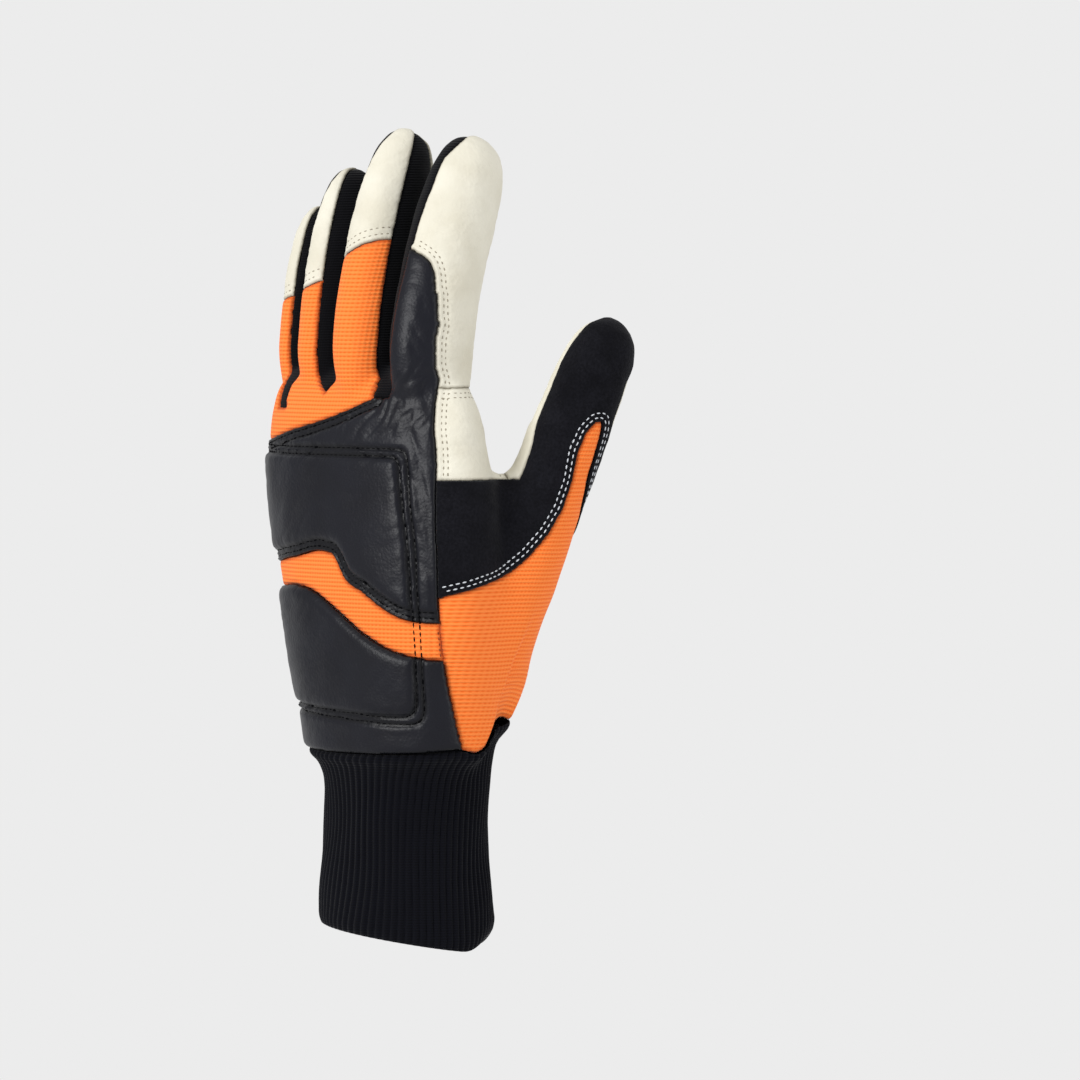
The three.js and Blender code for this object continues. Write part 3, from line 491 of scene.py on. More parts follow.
def seams():
    """Every seam as a field that is zero along it, with the part of the glove where it counts."""
    knit_top = THUMB_BASE + KNIT_TIP * THUMB_RISE

    def rise(p):
        """Height on the thumb, as a share of its rise."""
        return (p[:, 2] - THUMB_BASE) / THUMB_RISE

    def behind(p, ease=2.5):
        """On the back of the glove, or just past its edge."""
        return p[:, 1] < sheet_y(p) + ease

    lines = [
        (
            web_crest,
            lambda p: on_thumb(p) & (rise(p) > SUEDE_START - 0.01) & (p[:, 0] < thumb_axis(p[:, 2])[0] - 3),
        ),
        (
            lambda p: p[:, 0] - thumb_limit(p),
            lambda p: p[:, 2] < SUEDE_EDGE + 1,
        ),
        (
            lambda p: p[:, 0] - back_seam(p[:, 2]),
            lambda p: behind(p) & (p[:, 2] > SUEDE_EDGE - 2) & (p[:, 2] < tip_hem("index") + 1),
        ),
        (
            lambda p: p[:, 2] - SUEDE_EDGE,
            lambda p: (p[:, 0] > thumb_limit(p) - 2) & (thumb_turn(p)[1] > THUMB_WIDTH * THUMB_COLUMN - 1),
        ),
        (
            lambda p: thumb_turn(p)[1] - THUMB_WIDTH * THUMB_COLUMN,
            lambda p: (p[:, 2] > SUEDE_EDGE - 1) & (p[:, 2] < SUEDE_EDGE + 20),
        ),
        (
            lambda p: p[:, 1] - sheet_y(p),
            lambda p: (p[:, 0] < back_seam(p[:, 2]) + 1) & (p[:, 2] < tip_outline(p) + 1),
        ),
        *[
            (
                lambda p, e=edge: p[:, 2] - seam_height(e, p[:, 0]),
                lambda p: behind(p) & (p[:, 0] < back_seam(p[:, 2]) + 1),
            )
            for edge in (STRIPE_BOTTOM, STRIPE_TOP)
        ],
        (
            lambda p: p[:, 2] - seam_height(KNUCKLE_TOP, p[:, 0]),
            lambda p: behind(p) & (p[:, 0] < strip_inner(p[:, 2]) + 0.6),
        ),
        (
            lambda p: p[:, 0] - strip_inner(p[:, 2]),
            lambda p: behind(p)
            & (share_up(p[:, 2]) > INDEX_STRIP["foot"])
            & (p[:, 2] < tip_hem("index") + 1),
        ),
        (
            lambda p: p[:, 2] - seam_height(FINGER_SEAM, p[:, 0]),
            lambda p: (p[:, 1] > sheet_y(p) - 1) | (p[:, 0] > back_seam(p[:, 2]) - 1),
        ),
        (
            lambda p: thumb_turn(p)[0] - straight(THUMB_KNIT, "start", rise(p)),
            lambda p: on_thumb(p) & (rise(p) > 0.26) & (p[:, 2] < knit_top + 0.5) & (thumb_turn(p)[0] < 40),
        ),
        (
            lambda p: thumb_turn(p)[0] - straight(THUMB_KNIT, "stop", rise(p)),
            lambda p: on_thumb(p) & (p[:, 2] < knit_top + 0.5) & (thumb_turn(p)[0] > -5),
        ),
        (
            lambda p: p[:, 2] - knit_top,
            lambda p: on_thumb(p) & (np.abs(thumb_turn(p)[0] + 2) < 12),
        ),
        (
            lambda p: thumb_turn(p)[0] - straight(THUMB_SUEDE, "stop", rise(p)),
            lambda p: on_thumb(p) & (rise(p) > 0.34) & (thumb_turn(p)[0] > 0),
        ),
        (
            lambda p: thumb_turn(p)[0] - straight(THUMB_SUEDE, "start", rise(p)),
            lambda p: on_thumb(p) & (p[:, 2] > SUEDE_EDGE - 0.5) & (np.abs(thumb_turn(p)[0] + 100) < 40),
        ),
    ]
    for number, finger in enumerate(FINGERS):
        lines.append(
            (
                lambda p, f=finger: p[:, 2] - tip_line(f, p),
                lambda p, n=number: (nearest_finger(p) == n) & (p[:, 2] > WEB) & behind(p, 1),
            )
        )
        near_limits = (strip_start, lambda f, z: NEAR_STRIP[f][1]) if finger in NEAR_STRIP else ()
        for limit in near_limits:
            lines.append(
                (
                    lambda p, f=finger, a=limit: wrap(finger_turn(p, f) - a(f, p[:, 2])),
                    lambda p, f=finger, n=number: (nearest_finger(p) == n)
                    & (share_up(p[:, 2]) > STRIP_ZONE)
                    & (np.abs(finger_turn(p, f)) < 95),
                )
            )
        if finger != "little":
            for limit in (lambda f, z: far_back(f, z), lambda f, z: FAR_FRONT + 0 * z):
                lines.append(
                    (
                        lambda p, f=finger, a=limit: wrap(finger_turn(p, f) + 180) - a(f, p[:, 2]),
                        lambda p, f=finger, n=number: (nearest_finger(p) == n)
                        & (share_up(p[:, 2]) > STRIP_ZONE)
                        & (np.abs(wrap(finger_turn(p, f) + 180)) < 130),
                    )
                )
    for left, right in PAIRS:
        for share, side in ((STRIP_FOOT[left], -1), (PALM_FOOT, 1)):
            lines.append(
                (
                    lambda p, s=share: p[:, 2] - WRIST - PALM_LENGTH * s,
                    lambda p, a=left, b=right, s=side: (p[:, 0] > finger_x(a, p[:, 2]))
                    & (p[:, 0] < finger_x(b, p[:, 2]))
                    & ((p[:, 1] - sheet_y(p)) * s > -1),
                )
            )
    return lines


# Shaping the hand form


def loft(bm, sections, segments, hollow=False):
    """Skins closed sections from first to last, where a section gives a point for each turn.

    The ends are closed, or bridged to each other where the sections run up outside and down inside.
    """
    turn_of = bm.verts.layers.float.get("turn") or bm.verts.layers.float.new("turn")
    rim = bmesh.ops.create_circle(bm, segments=segments, radius=1)["verts"]
    for v in rim:
        v[turn_of] = math.atan2(v.co.y, v.co.x)
        v.co = sections[0](v[turn_of])
    start = edges = list({e for v in rim for e in v.link_edges})
    if not hollow:
        bmesh.ops.edgeloop_fill(bm, edges=start)
    for section in sections[1:]:
        grown = bmesh.ops.extrude_edge_only(bm, edges=edges)["geom"]
        rim = [g for g in grown if isinstance(g, bmesh.types.BMVert)]
        for v in rim:
            v.co = section(v[turn_of])
        fresh = set(rim)
        edges = [g for g in grown if isinstance(g, bmesh.types.BMEdge) and set(g.verts) <= fresh]
    if hollow:
        bmesh.ops.bridge_loops(bm, edges=start + edges)
    else:
        bmesh.ops.edgeloop_fill(bm, edges=edges)


def flat_section(x, y, z, wide, deep, power=2.0, turned=0.0):
    """A level section of the palm or the cuff, as a point for each turn."""

    def point(turn):
        """A point of the section, on an ellipse with fuller corners where power is above 2."""
        c, s = math.cos(turn), math.sin(turn)
        reach = (abs(c) ** power + abs(s) ** power) ** (-1 / power)
        spot = Vector((wide * c * reach, deep * s * reach, 0))
        spot.rotate(Matrix.Rotation(turned, 3, "Z"))
        return spot + Vector((x, y, z))

    return point


def tube_sections(points, wides, deeps):
    """Sections square to a path."""
    sections = []
    for i, point in enumerate(points):
        before, after = points[max(i - 1, 0)], points[min(i + 1, len(points) - 1)]
        along = (after - before).normalized()
        deep_axis = along.cross(Vector((1, 0, 0))).normalized()
        wide_axis = deep_axis.cross(along)

        def section(turn, point=point, a=wide_axis * wides[i], b=deep_axis * deeps[i]):
            """A point of the ellipse that this section is."""
            return point + a * math.cos(turn) + b * math.sin(turn)

        sections.append(section)
    return sections


def finger_sections(finger, ease):
    """Sections of a finger from its root inside the palm to its tip."""
    f = FINGERS[finger]
    root, tip = WEB - FINGER_LENGTH * FINGER_ROOT, WEB + FINGER_LENGTH * f["rise"] - ease
    rounded = 0.8 + 0.2 * np.sin(np.linspace(0.12, math.pi / 2, 14))
    along = np.concatenate([np.linspace(0, 0.8, 26), rounded])
    size = f["girth"] * curve(FINGER_GIRTH, "girth", along, "along")
    z = root + (tip - root) * along
    points = [Vector(p) for p in zip(finger_x(finger, z), finger_y(finger, z), z)]
    wides = np.maximum(FINGER_WIDTH / 2 * size - ease, 0.8)
    deeps = np.maximum(FINGER_DEPTH / 2 * size - ease, 0.8)
    return tube_sections(points, wides, deeps)


def hand_form(ease):
    """The closed form of palm, web, thumb and fingers, with slimmer fingers so that they stay apart."""
    bm = bmesh.new()
    ups = np.linspace(0, 1, 40)
    skirt = WRIST - PALM_DEPTH / 2
    palm = []
    for z in [skirt, *(WRIST + PALM_LENGTH * ups)]:
        up = max(share_up(z), 0)
        x, y = PALM_WIDTH * curve(HAND, "x", up), PALM_DEPTH * curve(HAND, "y", up)
        wide, deep = PALM_WIDTH * curve(HAND, "wide", up) / 2, PALM_DEPTH * curve(HAND, "deep", up) / 2
        palm.append(flat_section(x, y, z, wide, deep, SQUARENESS))
    loft(bm, palm, 96)
    for finger in FINGERS:
        loft(bm, finger_sections(finger, ease), 48)
    tip = 0.87 + 0.13 * np.sin(np.linspace(0.15, math.pi / 2, 10))
    ups = np.concatenate([np.linspace(-0.15, 0.87, 40), tip])
    girth = THUMB_WIDTH / 2 * curve(THUMB, "girth", ups)
    spine = zip(curve(THUMB, "x", ups), curve(THUMB, "y", ups), ups)
    points = [Vector(p) * THUMB_RISE + Vector((0, 0, THUMB_BASE)) for p in spine]
    loft(bm, tube_sections(points, girth, girth), 56)
    web = []
    for up in np.linspace(0.1, 0.6, 16):
        z = THUMB_BASE + THUMB_RISE * up
        x, y = thumb_axis(z)
        turned = math.atan2(y, x - PALM_WIDTH * WEB_START)
        middle = (x + PALM_WIDTH * WEB_START) / 2, y / 2
        wide = WEB_WIDTH / 2 * curve(THUMB_WEB, "wide", up)
        deep = WEB_DEPTH / 2 * curve(THUMB_WEB, "deep", up)
        web.append(flat_section(*middle, z, wide, deep, 2.0, turned))
    loft(bm, web, 48)
    bmesh.ops.recalc_face_normals(bm, faces=bm.faces)
    return bm


def coordinates(bm):
    """Vertex places as an array."""
    return np.array([v.co[:] for v in bm.verts], float)


def one_skin(bm, cell):
    """The outer skin of overlapping closed forms, as an even mesh."""
    mesh = bpy.data.meshes.new("form")
    bm.to_mesh(mesh)
    form = bpy.data.objects.new("form", mesh)
    bpy.context.scene.collection.objects.link(form)
    remesh = form.modifiers.new("skin", "REMESH")
    remesh.mode = "VOXEL"
    remesh.voxel_size = cell
    skin = bpy.data.meshes.new_from_object(form.evaluated_get(bpy.context.evaluated_depsgraph_get()))
    bm.clear()
    bm.from_mesh(skin)
    bpy.data.objects.remove(form)
    bpy.data.meshes.remove(mesh)
    bpy.data.meshes.remove(skin)


def soften(bm, rounds, weight=None):
    """Smooths the surface, all of it or only where weight is 1."""
    verts = bm.verts[:]
    if weight is not None:
        verts = [v for v, w in zip(verts, weight) if w]
    for _ in range(rounds):
        bmesh.ops.smooth_vert(bm, verts=verts, factor=0.5, use_axis_x=True, use_axis_y=True, use_axis_z=True)


def hand_skin(cell):
    """The glove's outer surface above the wrist seam, before it is cut into panels."""
    ease = 0.7
    bm = hand_form(ease)
    one_skin(bm, cell)
    soften(bm, 4)
    p = coordinates(bm)
    crotch = np.abs(p[:, 2] - WEB) < 14
    rise = (p[:, 2] - THUMB_BASE) / THUMB_RISE
    root = (rise > -0.25) & (rise < 0.64) & (p[:, 0] > PALM_WIDTH * 0.2)
    soften(bm, 6, crotch | root)
    soften(bm, 10, root)
    p = coordinates(bm)
    for spread, rounds in ((20, 20), (15, 20)):
        soften(bm, rounds, (np.abs(p[:, 2] - WEB + 4) < spread) & (p[:, 0] > finger_x("index", p[:, 2]) + 5))
    for spread, rounds in ((17, 45), (14, 45), (11, 45)):
        beside = np.abs(p[:, 0] - PALM_WIDTH * 0.4) < spread
        low, high = THUMB_BASE + 22 - spread, SUEDE_EDGE + 8 + spread / 2
        soften(bm, rounds, beside & (p[:, 2] > low) & (p[:, 2] < high))
    bm.normal_update()
    grow = ease * smooth_step(WEB - 8, WEB + 8, coordinates(bm)[:, 2])
    for v, g in zip(bm.verts, grow):
        v.co += v.normal * g
    return bm


def metric(field, p):
    """A field turned into a distance from its zero line."""
    value = field(p)
    slope = np.zeros(len(p))
    for axis in range(3):
        step = np.zeros(3)
        step[axis] = 0.05
        slope += ((field(p + step) - field(p - step)) / 0.1) ** 2
    return value / np.sqrt(np.maximum(slope, 1e-6))


def cut_seam(bm, field, where):
    """Cuts the surface along a seam and along lines beside it, without changing its shape.

    The points near the seam are lifted to their distance from it, cut there by level planes, and put back.
    """
    p = coordinates(bm)
    distance = metric(field, p)
    near = (np.abs(distance) < max(SEAM_CUTS) + 1.9) & where(p)
    bm.verts.ensure_lookup_table()
    home = bm.verts.layers.float_vector["home"]
    picked = {}
    for i in np.flatnonzero(near):
        picked[bm.verts[i]] = distance[i]
    for v, d in picked.items():
        v[home] = v.co
        v.co.z = d
    for cut in SEAM_CUTS:
        faces = {f for v in picked for f in v.link_faces if all(c in picked for c in f.verts)}
        edges = {e for f in faces for e in f.edges}
        made = bmesh.ops.bisect_plane(
            bm,
            geom=[*picked, *edges, *faces],
            dist=0.13,
            plane_co=(0, 0, cut),
            plane_no=(0, 0, 1),
        )
        for g in made["geom_cut"]:
            if isinstance(g, bmesh.types.BMVert):
                picked[g] = g.co.z
    for v in picked:
        v.co = v[home]


def cut_hem(bm):
    """Takes off the form below the wrist seam."""
    normal = Vector((0, -HEM_SLOPE, 1))
    bmesh.ops.bisect_plane(
        bm,
        geom=bm.verts[:] + bm.edges[:] + bm.faces[:],
        dist=0.1,
        plane_co=(0, 0, hem_height(0)),
        plane_no=normal,
        clear_inner=True,
    )
    p = coordinates(bm)
    lift = hem_lift(p[:, 0], p[:, 1]) * (1 - smooth_step(0, 24, p[:, 2] - hem_height(p[:, 1])))
    for v, rise in zip(bm.verts, lift):
        v.co.z += rise


def tidy_zones(bm, zone):
    """Gives small stray patches to the panel around them."""
    bm.faces.ensure_lookup_table()
    bm.faces.index_update()
    seen = np.zeros(len(bm.faces), bool)
    for start in range(len(bm.faces)):
        if seen[start]:
            continue
        seen[start] = True
        patch, stack, around = [start], [start], {}
        while stack:
            face = bm.faces[stack.pop()]
            for edge in face.edges:
                for other in edge.link_faces:
                    k = other.index
                    if zone[k] != zone[start]:
                        around[zone[k]] = around.get(zone[k], 0) + 1
                    elif not seen[k]:
                        seen[k] = True
                        patch.append(k)
                        stack.append(k)
        if len(patch) < SMALLEST_PANEL and around:
            zone[patch] = max(around, key=around.get)


def nearest(spots, p):
    """Each point's distance from the nearest of some spots."""
    tree = kdtree.KDTree(len(spots))
    for i, spot in enumerate(spots):
        tree.insert(spot, i)
    tree.balance()
    return np.array([tree.find(co)[2] for co in p.tolist()])


def seam_spots(bm, zone, ours=None, theirs=None, low_x=-99):
    """Closely set points along seams: all of them with the hems, or those between two groups of panels."""
    spots = []
    for edge in bm.edges:
        sides = {int(zone[f.index]) for f in edge.link_faces}
        if ours is None:
            counts = len(edge.link_faces) < 2 or len(sides) == 2
        else:
            counts = len(sides) == 2 and sides & ours and sides & theirs
        if counts:
            a, b = edge.verts[0].co, edge.verts[1].co
            if a.x > low_x:
                spots += [a.copy(), a.lerp(b, 0.33), a.lerp(b, 0.67), b.copy()]
    return spots


def contour(surface, panels, distance, level):
    """Lines on some panels at one distance from a seam, as arrays of places and normals."""
    bm, layer = surface["bm"], surface["bm"].faces.layers.int["panel"]
    links = {}
    for face in bm.faces:
        if face[layer] not in panels:
            continue
        hits = [
            e.index
            for e in face.edges
            if (distance[e.verts[0].index] < level) != (distance[e.verts[1].index] < level)
        ]
        if len(hits) == 2:
            links.setdefault(hits[0], []).append(hits[1])
            links.setdefault(hits[1], []).append(hits[0])
    lines, used = [], set()
    for start in sorted(links, key=lambda e: len(links[e])):
        if start in used:
            continue
        line, here = [start], start
        used.add(start)
        while True:
            ahead = [e for e in links[here] if e not in used]
            if not ahead:
                break
            here = ahead[0]
            used.add(here)
            line.append(here)
        if len(line) > SHORTEST_ROW:
            ends = np.array([[v.index for v in bm.edges[e].verts] for e in line])
            low, high = distance[ends[:, 0]], distance[ends[:, 1]]
            share = ((level - low) / (high - low))[:, None]
            place = surface["p"][ends[:, 0]] * (1 - share) + surface["p"][ends[:, 1]] * share
            normal = surface["normal"][ends[:, 0]] * (1 - share) + surface["normal"][ends[:, 1]] * share
            lines.append((place, normal))
    return lines


def even(line, step, rounds=6):
    """Smooths a line of places and normals, and spaces its points evenly."""
    place, normal = line
    for _ in range(rounds):
        for values in (place, normal):
            values[1:-1] = (values[:-2] + 2 * values[1:-1] + values[2:]) / 4
    run = np.concatenate([[0], np.cumsum(np.linalg.norm(np.diff(place, axis=0), axis=1))])
    where = np.arange(0, run[-1], step)
    columns = [np.interp(where, run, values[:, k]) for values in (place, normal) for k in range(3)]
    place, normal = np.stack(columns[:3], 1), np.stack(columns[3:], 1)
    return place, normal / np.linalg.norm(normal, axis=1)[:, None]


def cast_row(surface, shares, side):
    """A line drawn on the back (side -1) or the palm (side 1), from shares of the palm's width and length."""
    corners = np.array(shares, float) * (PALM_WIDTH, PALM_LENGTH) + (0, WRIST)
    for _ in range(3):
        first, last = corners[:-1], corners[1:]
        inner = np.concatenate([first * 0.75 + last * 0.25, first * 0.25 + last * 0.75])
        order = np.arange(len(inner)).reshape(2, -1).T.ravel()
        corners = np.concatenate([corners[:1], inner[order], corners[-1:]])
    run = np.concatenate([[0], np.cumsum(np.linalg.norm(np.diff(corners, axis=0), axis=1))])
    where = np.arange(0, run[-1], 0.4)
    places, normals = [], []
    for x, z in zip(np.interp(where, run, corners[:, 0]), np.interp(where, run, corners[:, 1])):
        spot, normal, _, _ = surface["tree"].ray_cast(Vector((x, 90 * side, z)), Vector((0, -side, 0)))
        if spot and normal.y * side > 0.05:
            places.append(spot[:])
            normals.append(normal[:])
    return np.array(places), np.array(normals)


HAND_SURFACE = {}


def hand_surface(cell):
    """The hand form cut into panels: made once and shared by every panel's operator."""
    if HAND_SURFACE:
        return HAND_SURFACE
    bm = hand_skin(cell)
    cut_hem(bm)
    bm.verts.layers.float_vector.new("home")
    for field, where in seams():
        cut_seam(bm, field, where)
    bmesh.ops.remove_doubles(bm, verts=bm.verts, dist=0.06)
    bmesh.ops.connect_verts_concave(bm, faces=bm.faces)
    bm.normal_update()
    centres = np.array([f.calc_center_median()[:] for f in bm.faces], float)
    zone = zone_of(centres)
    bm.faces.index_update()
    bm.verts.index_update()
    tidy_zones(bm, zone)
    p = coordinates(bm)
    layer = bm.faces.layers.int.new("panel")
    for face, number in zip(bm.faces, zone):
        face[layer] = int(number)
    HAND_SURFACE.update(
        bm=bm,
        p=p,
        zone=zone,
        normal=np.array([v.normal[:] for v in bm.verts], float),
        seam=nearest(seam_spots(bm, zone), p),
    )
    HAND_SURFACE["tree"] = BVHTree.FromBMesh(bm)
    bm.edges.ensure_lookup_table()
    bm.edges.index_update()
    add_rows(HAND_SURFACE)
    add_heights(HAND_SURFACE)
    return HAND_SURFACE


def add_rows(surface):
    """Finds every stitch row on the surface, and each point's distance from the seams and rows beside it."""
    bm, p = surface["bm"], surface["p"]
    surface["beside"], surface["rows"] = {}, []
    for name, (ours, theirs, levels, thread, pitch, length, low_x) in SEAM_ROWS.items():
        own = {ZONE[n] for n in ours}
        spots = seam_spots(bm, surface["zone"], own, {ZONE[n] for n in theirs}, low_x)
        distance = np.full(len(p), FAR_OFF)
        box = np.array(spots)
        close = np.all((p > box.min(0) - 12) & (p < box.max(0) + 12), axis=1)
        distance[close] = nearest(spots, p[close])
        surface["beside"][name] = distance
        for level in levels:
            for line in contour(surface, own, distance, level):
                surface["rows"].append((even(line, pitch), thread, length))
    block = [cast_row(surface, shares, -1) for shares in BLOCK_ROWS]
    palm = [cast_row(surface, shares, 1) for shares in PALM_ROWS]
    behind = p[:, 1] < sheet_y(p) + 3
    for name, lines, where in (("block", block, behind), ("quilt", palm, ~behind)):
        distance = np.full(len(p), FAR_OFF)
        distance[where] = nearest(np.concatenate([line[0] for line in lines]).tolist(), p[where])
        surface["beside"][name] = distance
    low = surface["beside"]
    channels = [np.abs(low["knuckle_top"] - d) for d in SEAM_ROWS["knuckle_top"][2]]
    channels += [np.abs(low["knuckle_low"] - d) for d in SEAM_ROWS["knuckle_low"][2]]
    surface["row_mm"] = np.minimum.reduce([low["block"], low["quilt"], *channels])
    surface["rows"] += [(even(line, 2.3), "black", 2.35) for line in block]
    surface["rows"] += [(even(line, 2.4), "grey", 1.3) for line in palm]


def add_heights(surface):
    """How far every point of the surface stands out, by its panel."""
    p, seam, layer = surface["p"], surface["seam"], surface["bm"].faces.layers.int["panel"]
    owner = np.zeros(len(p), int)
    for face in surface["bm"].faces:
        for v in face.verts:
            owner[v.index] = face[layer]
    surface["swell"] = {name: SWELLS[name](p, seam, surface["beside"]) for name in PANELS}
    surface["height"] = np.choose(owner, [surface["swell"][name] for name in PANELS])
    surface["places"] = kdtree.KDTree(len(p))
    for i, spot in enumerate(p.tolist()):
        surface["places"].insert(spot, i)
    surface["places"].balance()


def grain(p, size, seed=0.0):
    """Smooth noise between about -1 and 1 at each point, with lumps of a given size."""
    shift = Vector((seed, seed * 1.7, -seed))
    return np.array([noise.noise(Vector(q) / size + shift) for q in p.tolist()])


def plateau(distance, width):
    """0 at a seam and 1 from a width inwards, round like a folded edge."""
    t = np.clip(distance / width, 0, 1)
    return np.sqrt(np.clip(1 - (1 - t) ** 2, 0, 1))


def cloth_places(p, panel):
    """Pattern coordinates: millimetres round the hand, and up it."""
    if panel == "finger_knit" or panel.startswith("fourchette"):
        number = nearest_finger(p)
        across = np.zeros(len(p))
        for n, finger in enumerate(FINGERS):
            dx, dy = p[:, 0] - finger_x(finger, p[:, 2]), p[:, 1] - finger_y(finger, p[:, 2])
            arc = np.arctan2(dx, -dy) * FINGER_WIDTH / 2 * FINGERS[finger]["girth"]
            across = np.where(number == n, arc + finger_x(finger, p[:, 2]), across)
        parted = smooth_step(WEB - 6, WEB + 6, p[:, 2])
        across = p[:, 0] * (1 - parted) + across * parted
    elif panel.startswith("thumb"):
        across = np.radians(thumb_turn(p)[0]) * THUMB_WIDTH * 0.62
    else:
        across = np.arctan2(p[:, 0] + 6, -(p[:, 1] - 8)) * PALM_WIDTH * 0.42
    return np.stack([across, p[:, 2], np.zeros(len(p))], 1)


def channel(distance, levels, width=0.75):
    """A groove, 1 deep, at each of some distances from a line."""
    return sum(np.exp(-(((distance - level) / width) ** 2)) for level in levels)


def row_grooves(beside, name, width=0.6):
    """The grooves of the stitch rows that run beside a seam."""
    return channel(beside[name], SEAM_ROWS[name][2], width)


def creases(p, degrees, along, across, seed):
    """Sharp little folds that run in one direction across the x-z plane, between 0 and 1."""
    c, s = math.cos(math.radians(degrees)), math.sin(math.radians(degrees))
    run, side = p[:, 0] * c + p[:, 2] * s, -p[:, 0] * s + p[:, 2] * c
    bend = grain(p, across * 4, seed + 1.3) * across
    noise_map = grain(np.stack([run / along, (side + bend) / across, p[:, 1] / along], 1), 1.0, seed)
    return 1 - np.clip(np.abs(noise_map) / 0.35, 0, 1)


def pucker(p, near, seed):
    """Small gathers beside a stitched row."""
    return near * grain(p, 2.6, seed)


def palm_swell(p, seam, beside):
    """Palm leather: soft rolls at its edges, pressed quilting, a raised strip beside the black leather."""
    welt = channel(beside["index_side"], (1.0,), 0.9)
    rows = row_grooves(beside, "index_side") + row_grooves(beside, "cross")
    quilt = channel(beside["quilt"], (0,), 1.1) + 0.5 * row_grooves(beside, "thenar", 0.8)
    puff = 0.5 * plateau(beside["quilt"], 7) - 0.4
    soft = 0.28 * grain(p, 9, 3.1) + 0.16 * creases(p, 20, 9, 3.2, 6.1)
    return -0.5 + 0.5 * plateau(seam, 1.6) + 0.45 * welt - 0.22 * rows - 0.45 * quilt + puff + soft


def leather_swell(p, seam, beside):
    """Cream leather of the fingers: folded edges, stitched hems and a few soft wrinkles."""
    welt = channel(beside["index_side"], (1.0,), 0.9)
    rows = row_grooves(beside, "index_side") + row_grooves(beside, "tip_hem")
    soft = 0.2 * grain(p, 8, 5.3) + 0.14 * creases(p, 8, 8, 3.0, 2.6)
    return -0.5 + 0.5 * plateau(seam, 1.5) + 0.45 * welt - 0.2 * rows + soft


def block_right(up):
    """Right edge of the padded block, as a share of the palm's width."""
    edge = np.array(BLOCK_ROWS[1][3:11])[::-1]
    return np.interp(up, edge[:, 1], edge[:, 0])


def pad_swell(p, seam, beside):
    """Black padded leather: a puffed block inside stitched channels, wrinkles where the leather gives."""
    up, x = share_up(p[:, 2]), p[:, 0] / PALM_WIDTH
    block = (up < 0.785) & (up > 0.1) & (x < block_right(up) + 0.01)
    low = np.minimum(beside["knuckle_low"] - 3.5, beside["knuckle_top"] - 3.4)
    edges = np.minimum(np.minimum(beside["block"], low), seam - 0.3)
    puff = np.where(block, 1.2 * plateau(edges - 0.5, 4.0), 0.35 * plateau(edges - 0.3, 3))
    rows = channel(beside["block"], (0,), 0.8)
    rows = rows + row_grooves(beside, "knuckle_top", 0.7) + row_grooves(beside, "knuckle_low", 0.7)
    near = np.exp(-((np.minimum(np.abs(low), beside["block"]) / 3.5) ** 2))
    strip = smooth_step(-0.01, 0.03, x - block_right(up)) * smooth_step(0.2, 0.32, up)
    fan = smooth_step(0.8, 0.84, up) * smooth_step(-0.2, 0.0, x) * (1 - smooth_step(0.95, 1.1, up))
    wrinkle = 0.9 * strip * creases(p, 108, 15, 4.2, 3.3)
    wrinkle = wrinkle + 0.75 * fan * creases(p, 62, 12, 3.6, 8.4)
    wrinkle = wrinkle + 0.22 * creases(p, 25, 14, 5.0, 1.1) * smooth_step(2, 6, seam)
    wrinkle = wrinkle * smooth_step(0.2, 2.6, seam)
    crown = 0.1 + 0.8 * plateau(seam, 1.2) + puff
    rows = rows * (0.3 + 0.7 * smooth_step(-0.54, -0.44, x))
    return crown - 0.85 * rows + 0.2 * pucker(p, near, 4.8) + 0.3 * grain(p, 11, 1.7) - 0.6 * wrinkle


def knit_swell(p, seam, beside):
    """Orange knit: pulled in at its seams and at the channels across it, with slack below the thumb."""
    turn, _ = thumb_turn(p)
    root = (1 - smooth_step(THUMB_BASE + 8, THUMB_BASE + 40, p[:, 2])) * (p[:, 0] > PALM_WIDTH * 0.34)
    fold_turn = turn + 13 - 0.47 * (p[:, 2] - WRIST - 10)
    fold = smooth_step(-5, 4, fold_turn) * (1 - smooth_step(30, 75, fold_turn)) * root
    slack = 0.5 * root * np.sin(np.radians(turn * 5) + p[:, 2] / 9)
    rows = channel(beside["block"], (0,), 0.8)
    return -0.7 + 0.7 * plateau(seam, 1.8) - 0.45 * rows + 0.25 * grain(p, 12, 2.2) - 2.4 * fold + slack


def suede_swell(p, seam, beside):
    """Suede: thick, with a rounded cut edge and two rows of stitches pulled into it."""
    rows = row_grooves(beside, "suede")
    wide = 0.5 * grain(p, 15, 7.9) + 0.22 * creases(p, 60, 14, 5.5, 5.7)
    return -0.1 + 0.6 * plateau(seam, 1.1) - 0.25 * rows + wide


def strip_swell(p, seam, beside):
    """Side strips of the fingers: jersey with a fold down the middle where two fingers face."""
    return -1.0 + 0.45 * plateau(seam, 2.0) + 0.2 * grain(p, 7, 4.4)


SWELLS = {
    "palm_pad": palm_swell,
    "finger_leather": leather_swell,
    "knuckle_pad": pad_swell,
    "wrist_pad": pad_swell,
    "back_stripe": knit_swell,
    "finger_knit": knit_swell,
    "thumb_knit": knit_swell,
    "thumb_suede": suede_swell,
    "thumb_leather": leather_swell,
    **{f"fourchette_{left}_{right}": strip_swell for left, right in PAIRS},
}


def make_object(bm, name, material, smooth=True):
    """Turns a finished mesh into a piece of the glove, in metres."""
    bmesh.ops.scale(bm, vec=(MM, MM, MM), verts=bm.verts)
    mesh = bpy.data.meshes.new(name)
    bm.to_mesh(mesh)
    bm.free()
    if smooth:
        mesh.shade_smooth()
    piece = bpy.data.objects.new(name, mesh)
    bpy.context.scene.collection.objects.link(piece)
    mesh.materials.append(material)
    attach(piece, "root")
    return piece


